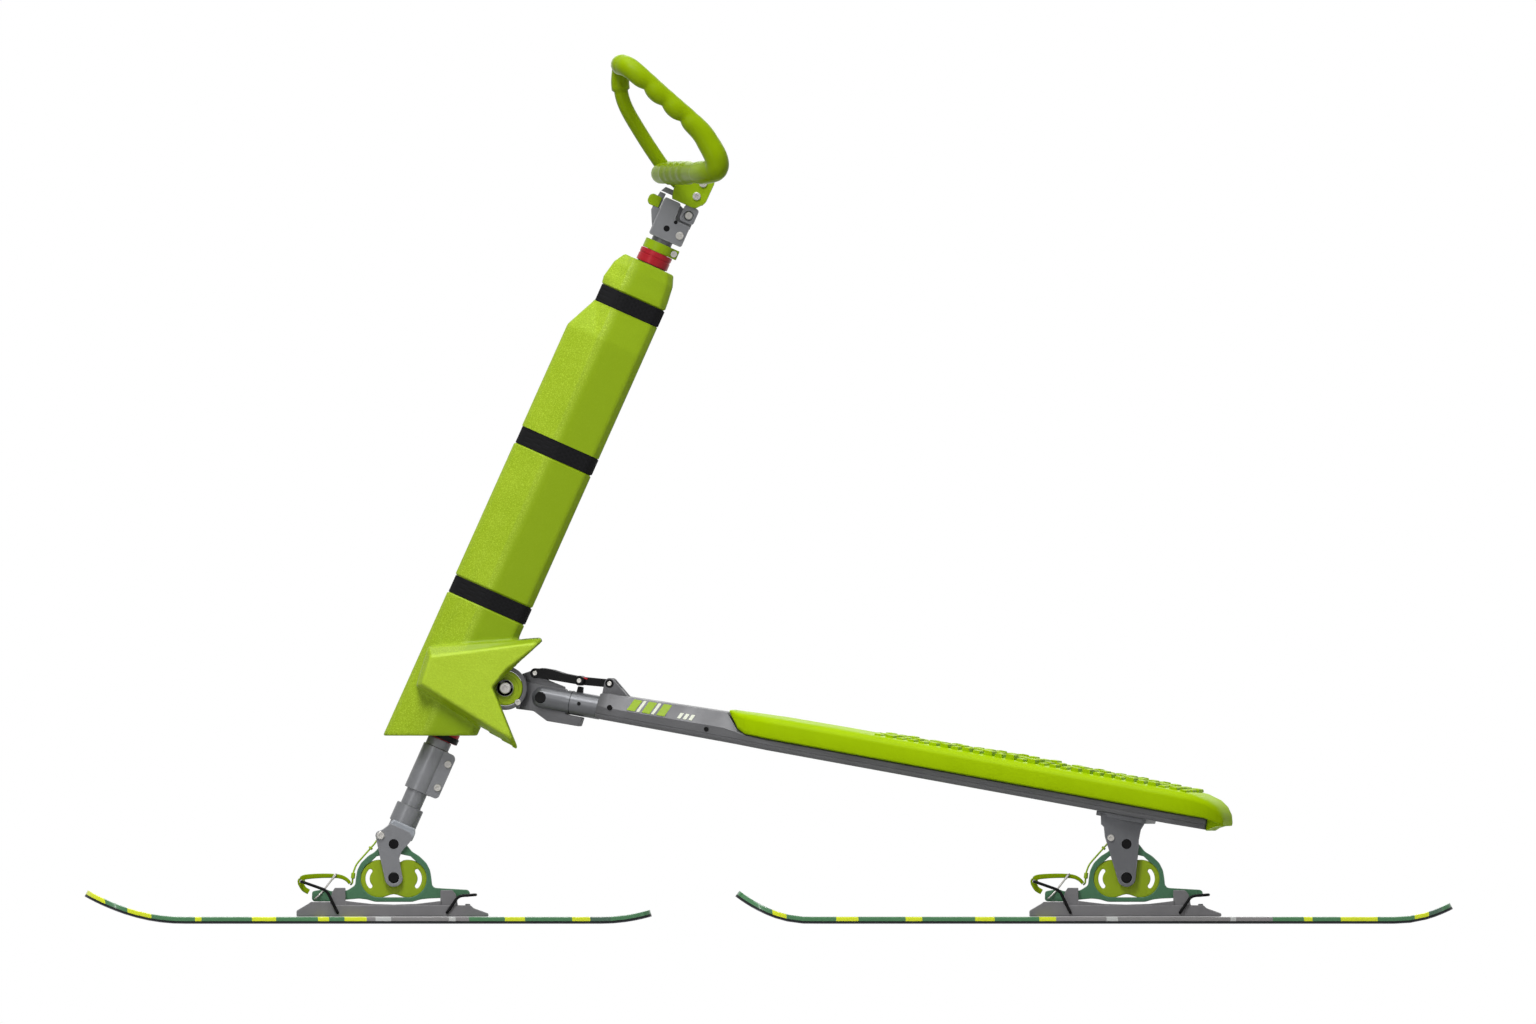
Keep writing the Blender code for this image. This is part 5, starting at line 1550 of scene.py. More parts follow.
# Deck arms
@dataclass
class DeckArm(SubAssembly):
    """One arm: knuckle, fold lock, tube, rail, pad and ski hanger."""

    name: str
    side: int
    tube: float = 0.016
    slot_root: float = 0.0385
    rail_start: float = 0.0817
    rail_end: float = 0.948
    rail_bottom: float = -0.014
    pad_seat: float = 0.0015
    link_a: Point = (-0.0153, 0.0307)
    link_c: Point = (0.0899, 0.035)
    link_half: float = 0.0055
    link_reach: float = 0.0626
    over_centre: float = 0.0018
    lug_half: float = 0.0035
    link_cheek: float = 0.0045
    tongue_half: float = 0.0067
    plate: tuple[float, float] = (0.018, 0.024)  # inside and outside, off the middle
    rail_half: float = 0.032
    facet: tuple[float, float] = (0.1187, 0.262)  # start and end of the upper facet
    treads: tuple[float, float, int] = (0.474, 0.0155, 29)  # start, pitch, number
    tread_rows: tuple[Point, ...] = ((-0.04, -0.015), (-0.0125, 0.0125), (0.015, 0.04))
    tread_sizes: tuple[float, ...] = (
        0.5, 0.9, 0.4, 0.55, 0.45, 0.75, 1.0, 0.7, 0.95, 0.6, 1.1, 0.8, 1.15
    )

    def __post_init__(self) -> None:
        """Finds the frames of the arm and of its ski."""
        self.place = arm_frame(self.side)
        self.column = column_frame()
        self.pin = ski_frame(self.side)
        self.prefix = f"{self.name}_"
        self.body = self.own("arm")

    def build_knuckle(self) -> None:
        """Builds the eye with its bushing, the web and the tongue in the clevis."""
        middle, body = self.side * KNUCKLE_Y, self.own("knuckle_set")
        low, high = middle - 0.015, middle + 0.015
        knuckle = Solid()
        outline = [(-0.034, -0.0215), (-0.009, -0.0201), (0.0117, -0.0302), (0.058, -0.0296)]
        outline += [(0.06, -0.017), (0.037, -0.0168), (0.031, -0.01), (0.033, 0.013)]
        outline += [(0.029, 0.017), (-0.034, 0.017)]
        half = self.tongue_half
        knuckle.prism(rounded(outline, 0.0022), -half, half, 0.0009, holes=(ring((0, 0), 0.0073),))
        lug = [(-0.034, 0.015), (0.028, 0.015), (0.027, 0.0195), (0.004, 0.024)]
        lug += arc(self.link_a, self.link_half, 0, 140, 18) + [(-0.034, 0.0265)]
        knuckle.prism(lug, -self.lug_half, self.lug_half)
        knuckle.mesh.transform(self.column.inverted() @ self.place)
        eye = ring(AXLE, 0.0297, 64)
        knuckle.prism(eye, low, high, 0.0014, holes=(ring(AXLE, 0.024, 56),))
        web = [(0.024, -0.0165), (0.0293, -0.017), (0.0203, 0.0233), (0.015, 0.0245)]
        web = [(AXLE[0] + x, AXLE[1] + z) for x, z in web]
        knuckle.prism(web, middle - 0.012, middle + 0.012, 0.0012)
        self.dress(knuckle, "eye", RAIL, "knuckle", body, self.column)
        small = Solid()
        for facing, face in ((-1, low), (1, high)):
            spot = (AXLE[0] + 0.0235, face, AXLE[1] - 0.0105)
            Bolt(0.0042, 0.0018, 0.002).add(small, spot, facing)
        self.dress(small, "eye_bolts", SILVER, body=body, place=self.column)
        edge, bore, outer, face = 0.0012, 0.008, 0.0237, 0.015 - GAP
        profile = [(bore, -face), (outer - edge, -face), (outer, -face + edge), (outer, face - edge)]
        profile += [(outer - edge, face), (0.0185, face), (0.018, face - edge)]
        profile += [(0.013, face - edge), (0.0125, face), (bore, face)]
        place = Matrix.Translation((AXLE[0], middle, AXLE[1])) @ ACROSS
        rubber = Solid().turned(profile, place, 56)
        self.dress(rubber, "bushing", RUBBER, "camber_bushing", body, self.column)

    def link_points(self) -> tuple[Vector, Vector, Vector]:
        """Returns: the three link pins in the side view, front to rear."""
        first, last = Vector(self.link_a), Vector(self.link_c)
        span = last - first
        below = Vector((span.y, -span.x)).normalized() * self.over_centre
        return first, first + span.normalized() * self.link_reach + below, last

    def build_links(self) -> None:
        """Builds the two black links, their silver pins and the red release tab."""
        first, middle, last = self.link_points()
        inner = self.lug_half + GAP
        outer = inner + self.link_cheek
        reach, half = (middle - first).length, self.link_half
        outline = arc((0, 0), half, 120, 270, 16) + arc((reach, 0), half, -90, 90, 20)
        outline += [(reach * 0.64, 0.0062), (reach * 0.38, 0.0085), (reach * 0.14, 0.0085)]
        turn = Matrix.Rotation(-math.atan2(middle.y - first.y, middle.x - first.x), 4, "Y")
        place = self.place @ Matrix.Translation((first.x, 0, first.y)) @ turn
        front = Solid().cheeks(outline, inner, outer, 0.0007)
        bridge = [(reach * 0.18, 0.0042), (reach * 0.6, 0.0042), (reach * 0.6, 0.0066)]
        bridge += [(reach * 0.18, 0.0083)]
        front.prism(bridge, -inner - 0.0005, inner + 0.0005, 0.0002)
        link = self.own("front_link_set")
        self.dress(front, "front_toggle", BLACK, "front_link", link, place)
        span = middle - last
        facing = math.degrees(math.atan2(span.y, span.x))
        shape = arc(tuple(last), half, facing + 90, facing + 270, 20)
        shape += arc(tuple(middle), half, facing - 90, facing + 90, 20)
        rear = Solid().prism(shape, -self.lug_half, self.lug_half, 0.0007)
        self.dress(rear, "rear_toggle", BLACK, "rear_link", self.own("rear_link_set"))
        groups = {
            "knuckle_set": (first, outer + 0.0012), "front_link_set": (middle, outer + 0.0012),
            "arm": (last, inner + 0.0061),
        }
        for label, (spot, end) in groups.items():
            body = self.own(label)
            pin = cross_pin(tuple(spot), 0.0032, end)
            self.dress(pin, f"{label}_pin", SILVER, body=body)
            boss = cross_pin(tuple(spot), half + 0.0012, end - 0.0009)
            self.dress(boss, f"{label}_boss", BLACK, body=body)
        shape = [(0.0455, 0.0345), (0.056, 0.0345), (0.0575, 0.035), (0.0572, 0.0368)]
        tab = Solid().prism(rounded([*shape, (0.0468, 0.0374)], 0.001, 3), -0.0042, 0.0042)
        self.dress(tab, "release_tab", RED, body=link)

    def build_tube(self) -> None:
        """Builds the clevis and tube with its dark ring, post and fold pin."""
        radius, half = self.tube, self.tongue_half + GAP
        end, turns, slices = self.rail_start - GAP, 48, 9
        sections = ((self.slot_root - 0.004, 1.0), (end - 0.0006, 1.0), (end, 0.96))
        tube = Solid().loft([slice_at(x, ring((0, 0), radius * size, turns)) for x, size in sections])
        for side in (-1, 1):
            cheek = []
            for step in range(slices):
                across = half + (radius * 0.995 - half) * step / (slices - 1)
                tall = math.sqrt(max(radius**2 - across**2, 1e-8))
                outline = arc((0, 0), tall, 90, 270, 24)
                outline += [(self.slot_root, -tall), (self.slot_root, tall)]
                cheek.append([Vector((x, side * across, z)) for x, z in outline])
            tube.loft(cheek)
        self.dress(tube, "tube", TUBE, "arm_tube", smooth=40)
        self.dress(cross_pin((0, 0), 0.0076, radius + 0.001), "fold_bolt", BLACK, "fold_pin")
        low, wide = radius - 0.001, radius + 0.0004
        place = Matrix.Translation((0.04, 0, 0)) @ Matrix.Rotation(math.radians(90), 4, "Y")
        profile = [(low, 0), (wide, 0.0002), (wide, 0.0008), (low, 0.001)]
        band = Solid().turned(profile, place, 48)
        for facing in (-1, 1):
            place = seat((0.0544, facing * (radius - 0.0006), 0.0012), facing)
            band.turned([(0, 0), (0.0026, 0), (0.0026, 0.0009), (0, 0.0009)], place, 28)
        post = [(0.0445, 0.012), (0.0535, 0.012), (0.0525, 0.0235), (0.0455, 0.0235)]
        band.prism(rounded(post, 0.0012), -0.003, 0.003, 0.0005)
        self.dress(band, "tube_ring", BLACK)

    def rail_section(self, half: float, top_half: float, shoulder: float, top: float) -> list[Point]:
        """Draws the rail's section with soft corners and a groove along each side.

        Args:
            half: half width at the sides.
            top_half: half width on top.
            shoulder: height where the sides turn in.
            top: height of the top.

        Returns:
            A closed outline of across and up.
        """
        low = self.rail_bottom
        side = [
            (half - 0.004, low), (half - 0.0012, low + 0.0008), (half, low + 0.0036),
            (half, low + 0.0062), (half - 0.0005, low + 0.0066), (half - 0.0005, low + 0.0074),
            (half, low + 0.0078), (half, shoulder - 0.001), (half - 0.0006, shoulder),
            (top_half + 0.0008, top - 0.0004), (top_half - 0.0008, top),
        ]
        return side + mirrored(side)

    def build_rail(self) -> None:
        """Builds the deck rail with the lug of the rear link, its screws and its bars."""
        seat_top, half, (near, far) = self.pad_seat, self.rail_half, self.facet
        stations = (
            (self.rail_start, 0.0255, 0.0155, 0.0034, 0.0194),
            (self.rail_start + 0.001, 0.0262, 0.0162, 0.004, 0.0202),
            (0.095, half, 0.019, 0.004, 0.0225), (near, half, 0.019, 0.0042, 0.022),
            (far, half, 0.02, 0.006, 0.026), (0.2815, 0.033, 0.028, 0.0035, 0.0055),
            (0.295, 0.036, 0.034, 0.0005, seat_top), (0.33, 0.046, 0.044, 0.0005, seat_top),
            (0.9, 0.046, 0.044, 0.0005, seat_top),
            (self.rail_end - 0.001, 0.0302, 0.0282, 0.0005, seat_top),
            (self.rail_end, 0.0294, 0.0274, 0.0002, seat_top - 0.0003),
        )
        rail = Solid().loft([slice_at(x, self.rail_section(*sizes)) for x, *sizes in stations])
        inner, last, foot = self.lug_half + GAP, self.link_c, 0.01
        lug = [(self.rail_start, foot)] + arc(last, 0.0075, 180, 40, 20)
        lug += [(0.106, 0.0317), (near, 0.0215), (near, foot)]
        rail.cheeks(lug, inner, inner + 0.005, 0.0009)
        back = [(last[0] + 0.0092, foot), (last[0] + 0.0092, 0.033), (0.106, 0.031)]
        back += [(0.118, 0.021), (0.118, foot)]
        rail.prism(back, -inner - 0.001, inner + 0.001, 0.0004)
        self.dress(rail, "rail", RAIL, "deck_rail", smooth=28)
        screws = Solid()
        for spot, size in (((0.102, 0.0042), 0.0036), ((0.24, -0.001), 0.0032)):
            Bolt(size, 0.0016, size * 0.5).pair(screws, spot, half)
        self.dress(screws, "rail_screws", BLACK)
        self.build_bars()

    def build_bars(self) -> None:
        """Lays the slanted bars on the upper facets of the rail."""
        lime, pale = Solid(), Solid()
        near, far = self.facet
        bars = [(start, 0.0115, 0.92, 0.08, lime) for start in (0.125, 0.146, 0.167)]
        bars += [(start, 0.0042, 0.92, 0.08, pale) for start in (0.1385, 0.1595)]
        bars += [(start, 0.0048, 0.5, 0.1, pale) for start in (0.196, 0.204, 0.212)]
        for start, length, high, low, solid in bars:
            share = (start + length / 2 - near) / (far - near)
            foot = Vector((start, self.rail_half, 0.0032 + 0.0018 * share))
            head = Vector((start, 0.0198 + 0.001 * share, 0.0216 + 0.004 * share))
            tall = (head - foot).length
            lean = 0.3 * tall
            outline = [(low * lean, low * tall), (low * lean + length, low * tall)]
            outline += [(high * lean + length, high * tall), (high * lean, high * tall)]
            outline = rounded(outline, 0.0008, 3)
            up = (head - foot).normalized()
            out = up.cross(Vector((1, 0, 0)))
            for side in (-1, 1):
                turn = Matrix(((1, 0, 0), (0, side * up.y, side * out.y), (0, up.z, out.z))).to_4x4()
                place = Matrix.Translation((foot.x, side * foot.y, foot.z)) @ turn
                solid.add(Solid().prism(outline, -0.0009, 0.0008, 0.0002, axis=Axis.UP), place)
        self.dress(lime, "lime_bars", LIME_METAL)
        self.dress(pale, "pale_bars", PRINT)

    def pad_section(self, half: float, low: float, top: float) -> list[Point]:
        """Draws the pad's section with a soft shoulder.

        Args:
            half: half width.
            low: height of its underside.
            top: height of its crown.

        Returns:
            A closed outline of across and up.
        """
        thick = top - low
        side = [
            (half - 0.004, low), (half - 0.001, low + 0.06 * thick), (half, low + 0.22 * thick),
            (half, top - 0.34 * thick), (half - 0.0012, top - 0.22 * thick),
            (half - 0.0042, top - 0.11 * thick), (half - 0.009, top - 0.04 * thick),
            (half - 0.015, top - 0.01 * thick), (half * 0.45, top),
        ]
        return side + mirrored(side)

    def build_pad(self) -> None:
        """Builds the foot pad, its raised treads and the lip at its end."""
        seat_level = self.pad_seat + GAP
        knots = (
            (0.265, 0.021, 0.0263, 0.03), (0.282, 0.03, 0.0062, 0.0305),
            (0.2955, 0.04, self.pad_seat + 0.0005, 0.031), (0.33, 0.053, seat_level, 0.032),
            (0.424, 0.056, seat_level, 0.033), (0.9, 0.056, seat_level, 0.033),
            (0.928, 0.053, seat_level, 0.0318), (0.948, 0.046, seat_level, 0.027),
            (0.96, 0.038, -0.0012, 0.0205), (0.968, 0.03, -0.0036, 0.012),
            (0.9716, 0.024, -0.0046, 0.002),
        )
        rings = []
        for first, second in zip(knots, knots[1:]):
            count = max(2, round((second[0] - first[0]) / 0.012))
            for step in range(count):
                along, *sizes = (a + step / count * (b - a) for a, b in zip(first, second))
                rings.append(slice_at(along, self.pad_section(*sizes)))
        rings.append(slice_at(knots[-1][0], self.pad_section(*knots[-1][1:])))
        pad = Solid().loft(rings)
        start, pitch, count = self.treads
        for tread in range(count):
            along, swell = start + tread * pitch, math.sin(math.pi * tread / (count - 1))
            for row, (low, high) in enumerate(self.tread_rows):
                size = self.tread_sizes[(tread + 5 * row) % len(self.tread_sizes)]
                long, top = 0.0088 + 0.0036 * size, 0.0338 + (0.0022 + 0.003 * swell) * size
                outline = [(along, 0.0322), (along + long, 0.0322)]
                outline += [(along + long - 0.0014, top), (along + 0.0014, top)]
                pad.prism(rounded(outline, 0.001, 2), low, high, 0.0007)
        lip = [(0.9484, 0.002), (0.9484, -0.0148), (0.9502, -0.015), (0.9556, -0.0102)]
        lip += [(0.9636, -0.0064), (0.97, -0.005), (0.97, 0.004)]
        pad.prism(lip, -0.0235, 0.0235, 0.0008)
        self.dress(pad, "pad", DECK, "deck_pad", smooth=45)

    def build_hanger(self) -> None:
        """Builds the flange, block and plates that hold the rear ski."""
        to_pin = self.pin.inverted() @ self.place
        spot = self.place.inverted() @ self.pin.translation
        top, wide = self.rail_bottom - GAP, 0.03
        front, rear = spot.x - 0.042, spot.x + 0.028
        flange = rounded([(front, -wide), (rear, -wide), (rear, wide), (front, wide)], 0.005)
        hanger = Solid().prism(flange, top - 0.0065, top, 0.0009, axis=Axis.UP)
        hanger.mesh.transform(to_pin)
        up = to_pin.to_3x3() @ Vector((0, 0, 1))
        level = top - 0.004 - spot.z

        def roof(x: float, lower: float = 0.0) -> Point:
            """Returns: the point under the flange at this distance along."""
            return (x, (level - x * up.x) / up.z - lower)

        outline = [roof(-0.035), (-0.0346, 0.0268), (-0.0308, 0.023), (-0.0294, 0.0098)]
        outline += [(-0.0256, -0.0026), (-0.0204, -0.0196)]
        outline += arc((0, -LOWER_PIN_DROP), 0.0123, 190, 352, 32) + [(0.0166, -0.0045)]
        outline += [(0.0166, 0.005), (0.0194, 0.0192), (0.024, 0.0265), roof(0.025)]
        low, high = self.plate
        hanger.cheeks(outline, low, high, 0.0012, (ring((0, -LOWER_PIN_DROP), 0.0071),))
        block = [roof(-0.032, 0.001), (-0.029, 0.0225), (0.018, 0.0205), roof(0.021, 0.001)]
        middle = (low + high) / 2
        hanger.prism(block, -middle, middle, 0.0008)
        # The hanger is dark metal like the rail; the paler tube finish on it is painted light that lifts
        # it out of the shade under the pad.
        self.dress(
            hanger, "hanger", TUBE, "ski_hanger", place=self.pin, smooth=38, slot="dark_metal"
        )
        bolts = Solid()
        Bolt(0.0047, 0.0026, 0.0023).pair(bolts, REAR_BOLT, high)
        self.dress(bolts, "hanger_bolts", SILVER, place=self.pin)
        pin = cross_pin((0, 0), 0.0067, high + 0.0012)
        self.dress(pin, "hanger_pin", BLACK, place=self.pin)

    def build(self) -> None:
        """Builds the whole arm."""
        self.build_knuckle()
        self.build_links()
        self.build_tube()
        self.build_rail()
        self.build_pad()
        self.build_hanger()


# Ski modules
@dataclass
class SkiModule(SubAssembly):
    """One ski with its damper, boot-shaped frame and binding."""

    name: str
    side: int
    sizes: tuple[float, float, float, float, float, float]
    blocks: tuple[tuple[float, str], ...]
    thickness: float = 0.0095
    half_width: float = 0.0475
    waist: float = 0.039
    pin_height: float = 0.1077
    base_half: float = 0.029
    frame_half: float = 0.017
    block_half: float = 0.015
    lobe: tuple[float, float, float] = (0.0194, 0.0468, 0.0256)  # off the middle, drop, radius
    wire: float = 0.002
    wire_leg: float = 0.0316
    lever_half: float = 0.013
    toe_bar: Point = (-0.1247, -0.0506)  # cross bar of the wire
    heel_bar: Point = (0.1108, -0.0685)
    cord: float = 0.0012

    def __post_init__(self) -> None:
        """Finds the ski's frame."""
        self.place = ski_frame(self.side)
        self.prefix = f"{self.name}_"
        self.body = self.own("ski_set")
        self.holder = self.own("arm") if self.side else "steering"

    def profile(self) -> list[tuple[float, float, float]]:
        """Returns: points along the running surface with the half width at each."""
        tip, shovel, heel, tail, tip_rise, tail_rise = self.sizes
        ahead = (0, 0.0012, 0.004, 0.008, 0.014, 0.021, 0.03, 0.042, 0.054, 0.07)
        behind = (0.036, 0.024, 0.014, 0.007, 0.003, 0.0008, 0)
        start, end, steps = tip + ahead[-1], tail - behind[0], 40
        places = [tip + off for off in ahead]
        places += [start + (end - start) * step / steps for step in range(1, steps)]
        places += [tail - off for off in behind]
        points = []
        for x in places:
            height = 0.0
            if x < shovel:
                height = tip_rise * ((shovel - x) / (shovel - tip)) ** 2
            if x > heel:
                height = tail_rise * ((x - heel) / (tail - heel)) ** 2
            along = (x - tip) / (tail - tip)
            width = self.waist + (self.half_width - self.waist) * (2 * along - 1) ** 2
            nose = min((x - tip) / 0.055, 1.0)
            width *= max(math.sqrt(max(1 - (1 - nose) ** 2, 0)), 0.12)
            end = min((tail - x) / 0.024, 1.0)
            width *= 0.55 + 0.45 * math.sqrt(max(1 - (1 - end) ** 2, 0))
            points.append((x, height, width))
        return points

    def layer(self, low: float, high: float, inset: float, soft: float = 0.0) -> Solid:
        """Builds one layer of the ski.

        Args:
            low: its underside above the running surface.
            high: its top above the running surface.
            inset: how far its sides stand in.
            soft: radius of its upper rims.

        Returns:
            The layer.
        """
        points = self.profile()
        rings = []
        for index, (x, height, width) in enumerate(points):
            before = points[max(index - 1, 0)]
            after = points[min(index + 1, len(points) - 1)]
            normal = Vector((before[1] - after[1], after[0] - before[0])).normalized()
            foot = Vector((x, height - self.pin_height))
            half = max(width - inset, 0.002)
            lift = [(low, half), (high - soft, half)]
            if soft:
                lift += [(high - soft * 0.3, half - soft * 0.3), (high, half - soft)]
            side = []
            for rise, across in lift:
                spot = foot + normal * rise
                side.append((spot.x, across, spot.y))
            rings.append([Vector(point) for point in side + other_side(side)])
        return Solid().loft(rings)

    def build_ski(self) -> None:
        """Builds the base, the steel edges and the body with its top sheet; the black base is drawn
        taller than a running base, as painted shade under the ski.
        """
        pin = self.place.translation
        sheet = SkiGraphic(
            self.own("top_sheet"), (84, 128, 100), (78, 120, 94), 0.3, 0.1, coat=0.5,
            scale=700.0, worn_and_sheen=(190, 200, 192), wear_and_sheen=0.3, scuffs=0.1, stretch=(0.2, 1, 1),
            pin_x=pin.x, pin_y=pin.y, tip=self.sizes[0], tail=self.sizes[3], blocks=self.blocks,
            slot="sage",
        )
        # The black base layer runs this high so that it is also painted shade under the ski.
        base_and_shade_top = 0.0036
        self.dress(self.layer(base_and_shade_top, self.thickness, 0.0, 0.0022), "ski_body", sheet, "ski")
        self.dress(self.layer(0.0, base_and_shade_top, 0.0002), "ski_base", BASE_AND_SHADE)
        self.dress(self.layer(0.0001, 0.0011, 0.0), "ski_edge", EDGE_STEEL)

    def build_plate(self) -> None:
        """Builds the binding plate with its cheeks and screws."""
        foot = self.thickness + GAP - self.pin_height
        outline = [(-0.1312, foot), (0.128, foot), (0.128, foot + 0.0042), (0.108, -0.0865)]
        outline += [(0.104, -0.0827), (-0.084, -0.0824), (-0.086, -0.078), (-0.112, -0.078)]
        outline += [(-0.1141, -0.0799), (-0.1312, foot + 0.0079)]
        plate = Solid().prism(rounded(outline, 0.0016, 4), -self.base_half, self.base_half, 0.0014)
        pad = [(0.066, -0.085), (0.086, -0.085), (0.086, -0.072), (0.066, -0.072)]
        plate.prism(pad, -self.frame_half, self.frame_half, 0.0006)
        dish = [(-0.0655, -0.085), (-0.0655, -0.0765), (-0.052, -0.0783), (-0.03, -0.0808)]
        dish += [(0, -0.0817), *mirrored(dish)]
        near, far = self.frame_half + 0.0013, 0.024
        plate.prism(dish, -far, far, 0.0008)
        toe = [(-0.0872, -0.084), (-0.065, -0.084), (-0.065, -0.0591), (-0.0795, -0.0591)]
        toe += [(-0.0835, -0.0657)]
        heel = [(0.063, -0.084), (0.087, -0.084), (0.084, -0.0677), (0.079, -0.0623)]
        heel += [(0.063, -0.0623)]
        for cheek in (toe, heel):
            plate.cheeks(rounded(cheek, 0.0012, 3), near, far, 0.0009)
        screw = [(0, 0), (0.0034, 0), (0.0034, 0.0022), (0.0028, 0.0028), (0, 0.0028)]
        for along, height in ((-0.1, -0.0806), (0.1, -0.0836)):
            for across in (-0.0225, 0.0225):
                plate.turned(screw, Matrix.Translation((along, across, height)), 24)
        self.dress(plate, "plate", PLATE, "binding_plate")

    def build_frame(self) -> None:
        """Builds the boot-shaped frame round the damper."""
        flank = [(0.025, -0.0104), (0.0346, -0.0161), (0.0443, -0.0256), (0.0493, -0.0356)]
        flank += [(0.0511, -0.0467), (0.052, -0.0557)]
        outline = arc((0, 0), 0.013, 140, 40, 24) + flank + [(0.0553, -0.059)]
        outline += [(0.064, -0.0597), (0.1, -0.0617), (0.1029, -0.0647), (0.1029, -0.0715)]
        outline += [(0.0644, -0.0715), (0.064, -0.073), (0.0469, -0.0737), (0.0361, -0.0749)]
        outline += [(0.0251, -0.0782), (-0.0251, -0.0782), (-0.0361, -0.0749), (-0.0469, -0.0737)]
        outline += [(-0.0628, -0.0751), (-0.084, -0.0777), (-0.108, -0.0775), (-0.1105, -0.0747)]
        outline += [(-0.11, -0.0637), (-0.092, -0.0607), (-0.085, -0.0637), (-0.0627, -0.0627)]
        outline += mirrored(flank)
        spacing, drop, radius = self.lobe
        half = arc((spacing, -drop), radius - 0.0005, -90, 62, 40)
        half += [(0.0229, -0.0167), (0.008, -0.0135)]
        shape, wide = rounded(outline, 0.003, 3), self.frame_half
        shell = Solid().prism(shape, -wide, wide, 0.0012, holes=(half + mirrored(half),))
        self.dress(shell, "boot", SAGE, "boot_frame", smooth=32)

    def build_damper(self) -> None:
        """Builds the two-lobed rubber block and the pin through its middle."""
        spacing, drop, radius = self.lobe
        right = arc((spacing, -drop), radius, -105, 105, 44)
        top, bottom = 0.0206 - drop, -0.0218 - drop
        outline = right + [(0.0055, top), (0, top - 0.0006), (-0.0055, top)] + mirrored(right)
        outline += [(-0.0045, bottom), (0, bottom + 0.0008), (0.0045, bottom)]
        slot = arc_slot((spacing, -drop), 0.0158, 0.0028, 40)
        holes = (ring((0, -LOWER_PIN_DROP), 0.0066), slot, mirrored(slot))
        block = Solid().prism(outline, -self.block_half, self.block_half, 0.0016, holes=holes)
        self.dress(block, "damper", RUBBER, "elastomer", smooth=38)
        pin = cross_pin((0, -LOWER_PIN_DROP), 0.0068, 0.0252)
        self.dress(pin, "lower_pin", BLACK, "pivot_pin", self.holder)

    def wire_path(self, pivot: Point, elbow: Point, bar: Point) -> list[Vector]:
        """Finds the run of a bent wire.

        Args:
            pivot: where its ends turn in the plate.
            elbow: bend of its legs.
            bar: place of its cross bar.

        Returns:
            Points along the wire.
        """
        tip, leg_y = self.base_half - 0.0025, self.wire_leg
        half = [
            (pivot[0], tip, pivot[1]), (pivot[0], leg_y, pivot[1]), (elbow[0], leg_y, elbow[1]),
            (bar[0], leg_y, bar[1]),
        ]
        return bent_path(half + other_side(half), 0.006)

    def build_binding(self) -> None:
        """Bends the toe and heel wires and builds the toe lever."""
        plate_top = self.thickness - self.pin_height
        toe_pivot, heel_pivot = (-0.0757, plate_top + 0.0055), (0.0722, plate_top + 0.0058)
        wires = (
            ("toe", toe_pivot, (-0.0904, -0.0627), self.toe_bar),
            ("heel", heel_pivot, (0.0876, -0.0702), self.heel_bar),
        )
        for end, *bends in wires:
            bail = Solid().tube(self.wire_path(*bends), self.wire, sides=4)
            self.dress(bail, f"{end}_wire", BLACK, f"{end}_bail", self.own(f"{end}_bail_set"))
        strap = [(-0.1247, 0, -0.0477), (-0.1185, 0, -0.0445), (-0.095, 0, -0.0429)]
        strap += [(-0.074, 0, -0.0437), (-0.064, 0, -0.0477), (-0.0588, 0, -0.0532)]
        tab = [(-0.1262, 0, -0.0517), (-0.1215, 0, -0.0602), (-0.1145, 0, -0.0647)]
        wide, hub = self.lever_half, ring(self.toe_bar, 0.0052, 32)
        bore = ring(self.toe_bar, 0.0023, 20)
        lever = Solid().prism(hub, 0.0005 - wide, wide - 0.0005, 0.0012, holes=(bore,))
        for run, first, last in ((strap, 0.0074, 0.0044), (tab, 0.008, 0.007)):
            path = smooth_path(run, 7)
            rings = []
            for index, point in enumerate(path):
                along = path[min(index + 1, len(path) - 1)] - path[max(index - 1, 0)]
                out = Vector((-along.z, 0, along.x)).normalized()
                half = (first + (last - first) * index / (len(path) - 1)) / 2
                outline = [(-half, -wide), (half, -wide), (half, wide), (-half, wide)]
                outline = rounded(outline, 0.0014, 3)
                rings.append([point + out * x + Vector((0, y, 0)) for x, y in outline])
            lever.loft(rings)
        self.dress(lever, "lever", LIME_GLOSS, "toe_lever", self.own("toe_lever_set"))

    def build_tether(self) -> None:
        """Runs the short cord from the lever to the bolt, and its silver clip wire."""
        bolt, reach = REAR_BOLT if self.side else FRONT_BOLT, 0.0035 + GAP
        top = (bolt[0] - reach * 0.7, bolt[1] - reach * 0.72)
        route = [(-0.0585, -0.0553), (-0.05585, -0.0525), (-0.0556, -0.0487), (-0.0552, -0.0467)]
        route += [(-0.0543, -0.0387), (-0.0535, -0.0357), (-0.0498, -0.0272), (-0.041, -0.0167)]
        route += [(-0.032, -0.0067), (-0.03, -0.0043), (-0.0255, 0.0009), top]
        knots = [Vector((x, 0, z)) for x, z in route]
        cord = Solid().tube(smooth_path(knots, 5), self.cord, sides=4)
        wide = self.cord * 2.4
        for start, end in ((knots[3], knots[4]), (knots[8], knots[9])):
            run = [start.lerp(end, share) for share in (0, 0.08, 0.92, 1)]
            cord.tube(run, [wide * 0.75, wide, wide, wide * 0.75], sides=5)
        self.dress(cord, "cord", CORD, "tether")
        clip = Solid()
        half = [(-0.0774, -0.006, -0.0405), (-0.079, -0.015, -0.042)]
        half += [(-0.085, -0.0165, -0.05), (-0.096, -0.018, -0.064)]
        half += [(-0.106, -0.018, -0.074)]
        clip.tube(smooth_path(half + other_side(half), 6), 0.0013, sides=4)
        steps = 36
        for side in (-1, 1):
            wound = []
            for step in range(steps + 1):
                turn, share = math.tau * step / 9, step / steps
